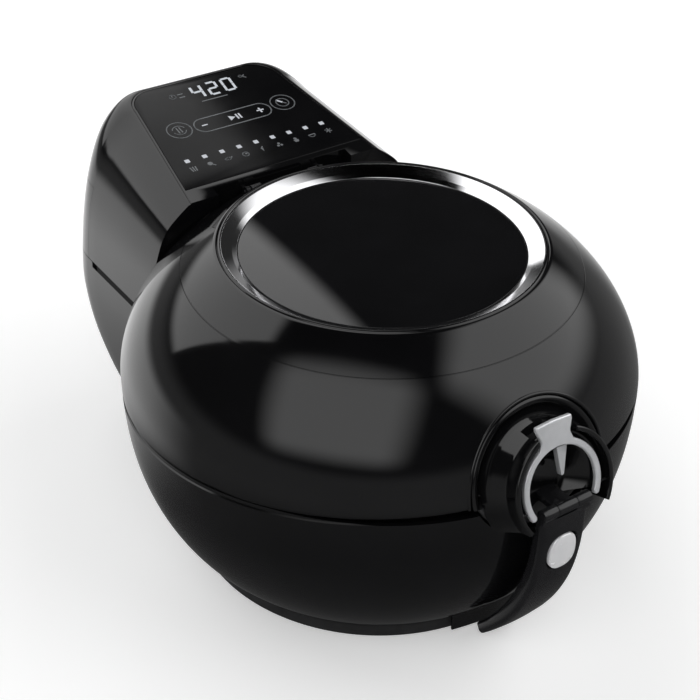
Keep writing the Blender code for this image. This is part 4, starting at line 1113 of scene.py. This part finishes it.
def latch_heart():
    """Glossy hollow behind the ring, with the bright catch tongue that the ring lifts."""
    inner = LATCH_R - LATCH_BAND
    profile = fillet([(0.0, 0.0040, 0.0), (inner * 0.55, 0.0055, 0.01),
                      (inner + 0.0008, LATCH_OFFSET - 0.0060, 0.012),
                      (HOOD_R - 0.0034, LATCH_OFFSET - 0.0020, 0.002), (HOOD_R - 0.0034, 0.0, 0.0),
                      (0.0, 0.0, 0.0)], 8)
    hollow = lathe("latch_hollow", profile, GLOSS_BLACK, hub_matrix(), 128)
    guide = Guide(hollow)
    foot = box_solid("cut_hollow_low", (-0.05, -0.06, -0.05), (0.05, -0.0125, 0.06), hub_matrix())
    carve(hollow, [("DIFFERENCE", foot)], [guide])
    place_piece(hollow, "lid", "gloss_black")
    outline = fillet([(0.0060, 0.0020, 0.0008), (0.0082, 0.0030, 0.0010), (0.0138, 0.0215, 0.0008),
                      (0.0052, 0.0215, 0.0008)], 4)
    tongue = plate("catch_tongue", outline, 0.0120, 0.0165, SATIN_SILVER, hub_matrix(), 0.0006)
    return place_piece(tongue, "lid", "satin_silver")


# ---------------------------------------------------------------------- handle

def handle_path(share):
    """Outer face of the folded handle as y and z, from the pivot down to the tail."""
    height = HANDLE_TOP - share * (HANDLE_TOP - 0.0045)
    depth = -0.2371 + 0.0010 * share + 0.0490 * max(share - 0.12, 0.0) ** 2.25 / 0.88 ** 2.25
    return Vector((depth, height))


def pan_handle():
    """Smooth folding lever with its pivot roll and the pocket for its button."""
    rings = []
    count = 44
    for i in range(count + 1):
        share = i / count
        here = handle_path(share)
        run = (handle_path(min(share + 0.01, 1.0)) - handle_path(max(share - 0.01, 0.0))).normalized()
        inward = Vector((-run.y, run.x))
        if inward.x < 0:
            inward = -inward
        thick = 0.0095 + 0.0030 * math.sin(math.pi * share)
        half = HANDLE_HALF_W - 0.0015 * share
        section = fillet([(-half, 0.0012, 0.0040), (0.0, -0.0002, 0.12), (half, 0.0012, 0.0040),
                          (half - 0.0015, thick, 0.0022), (-half + 0.0015, thick, 0.0022)], 6)
        rings.append([Vector((x, here.x + inward.x * t, here.y + inward.y * t)) for x, t in section])
    lever = grid_solid("pan_lever", rings, HANDLE_BLACK, loop=False)
    guide = Guide(lever)
    steps = []
    guides = [guide]
    for side in (-1, 1):
        inner, outer = side * 0.0080, side * (HANDLE_HALF_W - 0.0002)
        roll = bar(f"handle_roll_{side}", HANDLE_PIVOT + Vector((min(inner, outer), 0, 0)),
                   HANDLE_PIVOT + Vector((max(inner, outer), 0, 0)), 0.0042, edge=0.0002)
        guides.append(Guide(roll))
        web = box_solid(f"handle_web_{side}", (min(inner, outer), HANDLE_PIVOT.y - 0.0022, 0.1405),
                     (max(inner, outer), HANDLE_PIVOT.y + 0.0038, HANDLE_PIVOT.z))
        steps += [("UNION", roll), ("UNION", web)]
    outline = button_outline(0.0124, 0.0148)
    turn = Matrix.Rotation(math.radians(90), 4, "X")
    pocket = plate("cut_pocket", outline, 0.2305, 0.2450, matrix=turn)
    steps.append(("DIFFERENCE", pocket))
    carve(lever, steps, guides)
    return place_piece(lever, "handle", "gloss_black", "pan_handle")


def button_outline(half_w, half_h, power=2.5, count=56):
    """A softly squared oval about the button's centre, as x and z."""
    outline = []
    for i in range(count):
        angle = 2 * math.pi * i / count
        c, s = math.cos(angle), math.sin(angle)
        x = half_w * math.copysign(abs(c) ** (2 / power), c)
        z = half_h * math.copysign(abs(s) ** (2 / power), s)
        outline.append((x, BUTTON_Z + z))
    return outline


def push_button():
    """Crowned silver button whose edge sits just inside its pocket."""
    rows = []
    for depth, shrink in ((-0.2341, 1.0), (-0.2364, 1.0), (-0.2370, 0.975), (-0.2374, 0.93),
                          (-0.2377, 0.84),
                          (-0.2380, 0.62), (-0.2381, 0.34), (-0.23815, 0.08)):
        outline = button_outline(0.0108 * shrink, 0.0134 * shrink)
        rows.append([Vector((x, depth, BUTTON_Z + (z - BUTTON_Z))) for x, z in outline])
    button = shade(grid_solid("release_button", rows, BUTTON_SILVER, loop=False), 50)
    return place_piece(button, "handle_button", "satin_silver", "handle_button")


def return_spring():
    """Coil behind the button, running back to its fixed end."""
    turns, around, section = 2, 28, 8
    front, fixed, radius, wire = -0.2336, -0.2310, 0.0042, 0.0003
    rows = []
    for i in range(turns * around + 1):
        angle = 2 * math.pi * i / around
        out = Vector((math.cos(angle), 0.0, math.sin(angle)))
        middle = out * radius + Vector((0.0, front + (fixed - front) * i / (turns * around), BUTTON_Z))
        rows.append([middle + (out * math.cos(a) + Vector((0.0, 1.0, 0.0)) * math.sin(a)) * wire
                     for a in (2 * math.pi * k / section for k in range(section))])
    spring = shade(grid_solid("return_spring", rows, STEEL, loop=False), 50)
    place_piece(spring, "handle", "steel", "button_spring")
    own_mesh(spring)


def pivot_bracket():
    """Bracket from the pan out to the pivot, with a black roll that matches the handle's."""
    y_wall = BODY_Y - PAN_RIM_R
    arm = plate("bracket_arm", fillet([(-0.0075, HANDLE_PIVOT.y, 0.001), (0.0075, HANDLE_PIVOT.y, 0.001),
                                       (0.0075, y_wall - 0.0010, 0.001), (-0.0075, y_wall - 0.0010,
                                                                          0.001)], 3),
                0.1441, 0.1490, HANDLE_BLACK, edge=0.0006)
    heel = box_solid("bracket_heel", (-0.0140, y_wall - 0.0046, 0.1335), (0.0140, y_wall - 0.0006, 0.1510))
    roll = bar("bracket_roll", HANDLE_PIVOT - Vector((0.0076, 0, 0)), HANDLE_PIVOT + Vector((0.0076, 0, 0)),
               0.0042, edge=0.0002)
    guide = Guide(roll)
    carve(arm, [("UNION", heel), ("UNION", roll)], [guide])
    arm.data.materials.clear()
    arm.data.materials.append(HANDLE_BLACK)
    return place_piece(arm, "base", "steel", "pan_bracket")


def bowl_radius(height):
    ratio = (EQUATOR_Z - height) / BOWL_DROP
    return BODY_R * (1.0 - ratio ** BOWL_POWER) ** (1.0 / BOWL_POWER)


def chin():
    """Soft swelling on the bowl's front that cradles the folded handle."""
    half, proud, across, count = 0.0300, 0.0010, 36, 60
    rows = []
    for i in range(count + 1):
        height = CHIN_TOP - (CHIN_TOP - 0.0030) * i / count
        level = max(height, FOOT_TOP + 0.002)
        radius = max(bowl_radius(level), FOOT_R) if height < FOOT_TOP + 0.002 else bowl_radius(level)
        fade = min(1.0, (CHIN_TOP - height) / 0.022)
        swell = proud * fade * fade * (3 - 2 * fade)
        front, back = [], []
        for k in range(across + 1):
            x = half * (2 * k / across - 1)
            rise = swell * math.cos(math.pi * x / (2 * half)) ** 2
            depth = BODY_Y - math.sqrt(radius ** 2 - x ** 2)
            front.append(Vector((x, depth + 0.0004 - rise, height)))
            back.append(Vector((x * 0.98, depth + 0.0022, height)))
        rows.append(front + list(reversed(back)))
    obj = shade(grid_solid("handle_cradle", rows, GLOSS_BLACK, loop=False), 50)
    return place_piece(obj, "base", "gloss_black", "front_chin")


def foot_skirt():
    profile = fillet([(FOOT_R, FOOT_TOP, 0.0006), (FOOT_R, 0.0028, 0.0014),
                      (FOOT_R - 0.0014, 0.0015, 0.0006),
                      (FOOT_R - 0.0112, 0.0015, 0.0006), (FOOT_R - 0.0112, FOOT_TOP, 0.0006)], 5)
    band = lathe("foot_skirt", profile, MATTE_BLACK)
    return place_piece(band, "base", "matte_black", "foot_band")


# ------------------------------------------------------------- CAD that stays

FINISHES = {
    "matte_black": MATTE_BLACK, "inner_black": INNER_BLACK, "rubber": RUBBER, "silicone": SILICONE,
    "pan_coating": PAN_COATING, "steel": STEEL, "board_green": BOARD_GREEN, "gear_white": NYLON,
    "gloss_black": GLOSS_BLACK, "chrome": CHROME, "satin_silver": SATIN_SILVER,
    "smoked_glass": SMOKED_GLASS, "panel_glass": PANEL_GLASS,
}


def finish_cad_nodes():
    """Give each CAD node that stays visible the material of its slot; the hinge and pin nodes get near-black steel
    instead, painted shade for the gaps they sit in.
    """
    slots = {row["node"]: row["material_slot"] for row in frame["record"]["subparts"]}
    for name, node in frame["nodes"].items():
        if node.hide_render:
            continue
        node.data.materials.clear()
        # Hinge and pin nodes get the near-black steel: painted shade in place of their steel finish.
        dark = name.startswith(("hinge_", "latch_pin", "handle_pin"))
        node.data.materials.append(PAINTED_SHADE_STEEL if dark else FINISHES[slots[name]])


# ---------------------------------------------------------------------- studio

def unit(azimuth, elevation):
    """A direction, with azimuth 0 along +Y and 90 along +X."""
    a, e = math.radians(azimuth), math.radians(elevation)
    return Vector((math.sin(a) * math.cos(e), math.cos(a) * math.cos(e), math.sin(e)))


def softbox(name, azimuth, elevation, roll, shift, size, radiance, soft=(0.25, 0.25)):
    """A far rectangular light facing the machine, turned in its plane and fading towards its edges."""
    towards = unit(azimuth, elevation)
    side = Vector((math.cos(math.radians(azimuth)), -math.sin(math.radians(azimuth)), 0.0))
    side = Matrix.Rotation(math.radians(roll), 3, towards) @ side
    up = side.cross(towards)
    light = bpy.data.lights.new(name, "AREA")
    light.shape = "RECTANGLE"
    light.size, light.size_y = size[0] * LIGHT_DISTANCE, size[1] * LIGHT_DISTANCE
    light.energy = radiance * math.pi * light.size * light.size_y
    light.use_nodes = True
    nodes, links = light.node_tree.nodes, light.node_tree.links
    emission = nodes["Emission"]
    place = nodes.new("ShaderNodeNewGeometry")
    parts = nodes.new("ShaderNodeSeparateXYZ")
    links.new(place.outputs["Parametric"], parts.inputs["Vector"])
    level = None
    for axis, fade in zip("XY", soft):
        centred = nodes.new("ShaderNodeMath")
        centred.operation = "SUBTRACT"
        centred.inputs[1].default_value = 0.5
        links.new(parts.outputs[axis], centred.inputs[0])
        apart = nodes.new("ShaderNodeMath")
        apart.operation = "ABSOLUTE"
        links.new(centred.outputs["Value"], apart.inputs[0])
        edge = nodes.new("ShaderNodeMapRange")
        edge.interpolation_type = "SMOOTHSTEP"
        edge.inputs["From Min"].default_value = 0.5
        edge.inputs["From Max"].default_value = 0.5 - fade
        links.new(apart.outputs["Value"], edge.inputs["Value"])
        if level is None:
            level = edge.outputs["Result"]
        else:
            both = nodes.new("ShaderNodeMath")
            both.operation = "MULTIPLY"
            links.new(level, both.inputs[0])
            links.new(edge.outputs["Result"], both.inputs[1])
            level = both.outputs["Value"]
    links.new(level, emission.inputs["Strength"])
    obj = bpy.data.objects.new(name, light)
    centre = Vector((0.0, BODY_Y, EQUATOR_Z)) + (towards + side * shift[0] + up * shift[1]) * LIGHT_DISTANCE
    turn = Matrix((-side, up, towards)).transposed()
    obj.matrix_world = Matrix.Translation(centre) @ turn.to_4x4()
    obj.visible_camera = False
    bpy.context.scene.collection.objects.link(obj)
    return obj


def world():
    """Dim room with a bright sweep behind the machine; the camera sees plain white."""
    made = bpy.data.worlds.new("studio")
    bpy.context.scene.world = made
    made.use_nodes = True
    nodes, links = made.node_tree.nodes, made.node_tree.links
    nodes.clear()
    where = nodes.new("ShaderNodeTexCoord")
    parts = nodes.new("ShaderNodeSeparateXYZ")
    links.new(where.outputs["Generated"], parts.inputs["Vector"])

    def ramp(source, low, high, start, end):
        node = nodes.new("ShaderNodeMapRange")
        node.interpolation_type = "SMOOTHSTEP"
        node.inputs["From Min"].default_value = low
        node.inputs["From Max"].default_value = high
        node.inputs["To Min"].default_value = start
        node.inputs["To Max"].default_value = end
        links.new(source, node.inputs["Value"])
        return node.outputs["Result"]

    def join(operation, a, b):
        node = nodes.new("ShaderNodeMath")
        node.operation = operation
        links.new(a, node.inputs[0])
        links.new(b, node.inputs[1])
        return node.outputs["Value"]

    z, y = parts.outputs["Z"], parts.outputs["Y"]
    room = ramp(z, 0.06, 0.26, 0.24, 0.022)
    ceiling = ramp(z, 0.78, 0.90, 1.0, 0.0)
    below = ramp(z, -0.85, -0.25, 0.30, 1.0)
    front = join("MULTIPLY", join("MULTIPLY", room, ceiling), below)
    sweep = join("MULTIPLY", ramp(y, 0.35, 0.85, 0.0, 1.1), ramp(z, -0.75, -0.40, 0.0, 1.0))
    sweep = join("MULTIPLY", sweep, ramp(z, -0.12, 0.02, 1.0, 0.0))
    level = join("ADD", front, sweep)
    room_light = nodes.new("ShaderNodeBackground")
    links.new(level, room_light.inputs["Color"])
    white = nodes.new("ShaderNodeBackground")
    white.inputs["Color"].default_value = (1.0, 1.0, 1.0, 1.0)
    path = nodes.new("ShaderNodeLightPath")
    mix = nodes.new("ShaderNodeMixShader")
    out = nodes.new("ShaderNodeOutputWorld")
    links.new(path.outputs["Is Camera Ray"], mix.inputs["Fac"])
    links.new(room_light.outputs["Background"], mix.inputs[1])
    links.new(white.outputs["Background"], mix.inputs[2])
    links.new(mix.outputs["Shader"], out.inputs["Surface"])


def floor():
    mesh = mesh_of("floor", [(-9, -9, 0), (9, -9, 0), (9, 9, 0), (-9, 9, 0)], [(0, 1, 2, 3)])
    mat = varied("floor_paper", (0.93, 0.93, 0.93), (0.95, 0.95, 0.95), (0.7, 0.8), grain=3.0,
                 bump=(200.0, 0.02, 0.0001))
    shader = mat.node_tree.nodes["Principled BSDF"]
    shader.inputs["Emission Color"].default_value = (1.0, 1.0, 1.0, 1.0)
    shader.inputs["Emission Strength"].default_value = FLOOR_GLOW
    obj = new_object("floor", mesh, mat)
    obj.visible_glossy = False


def studio():
    scene = bpy.context.scene
    scene.view_settings.view_transform = "Standard"
    softbox("front_left_softbox", -130, 40, 0, (0.10, 0.06), (1.36, 1.18), 1.5)
    softbox("right_softbox", 120, 32, 0, (-0.10, 0.20), (1.88, 1.36), 1.6)
    softbox("rear_softbox", 0, 40, REAR_ROLL, (-0.155, -0.04), (1.23, 1.14), 1.5, (0.03, 0.12))
    world()
    floor()


def camera():
    """Long lens from the front left, with a slight roll."""
    azimuth, elevation, roll = math.radians(-34.628), math.radians(34.821), math.radians(-1.04)
    back = Vector((math.sin(azimuth) * math.cos(elevation), -math.cos(azimuth) * math.cos(elevation),
                   math.sin(elevation)))
    right = Vector((math.cos(azimuth), math.sin(azimuth), 0.0))
    up = back.cross(right)
    side = right * math.cos(roll) - up * math.sin(roll)
    top = right * math.sin(roll) + up * math.cos(roll)
    turn = Matrix((side, top, back)).transposed().to_4x4()
    data = bpy.data.cameras.new("camera")
    data.lens, data.sensor_width = 77.14, 36.0
    obj = bpy.data.objects.new("camera", data)
    obj.matrix_world = Matrix.Translation((-0.51263, -0.73935, 0.75391)) @ turn
    bpy.context.scene.collection.objects.link(obj)
    bpy.context.scene.camera = obj


# -------------------------------------------------------------------- assembly

def build():
    camera()
    studio()
    lid_dome()
    chrome_ring()
    window()
    base_bowl()
    tower_cover()
    rear_cover()
    touch_panel()
    display_digits()
    display_symbols()
    pill_key()
    dial_keys()
    programme_lamps()
    hub_lip()
    hub_dishes()
    latch_hood()
    latch_ring()
    latch_heart()
    pan_handle()
    push_button()
    return_spring()
    pivot_bracket()
    chin()
    foot_skirt()
    finish_cad_nodes()


build()
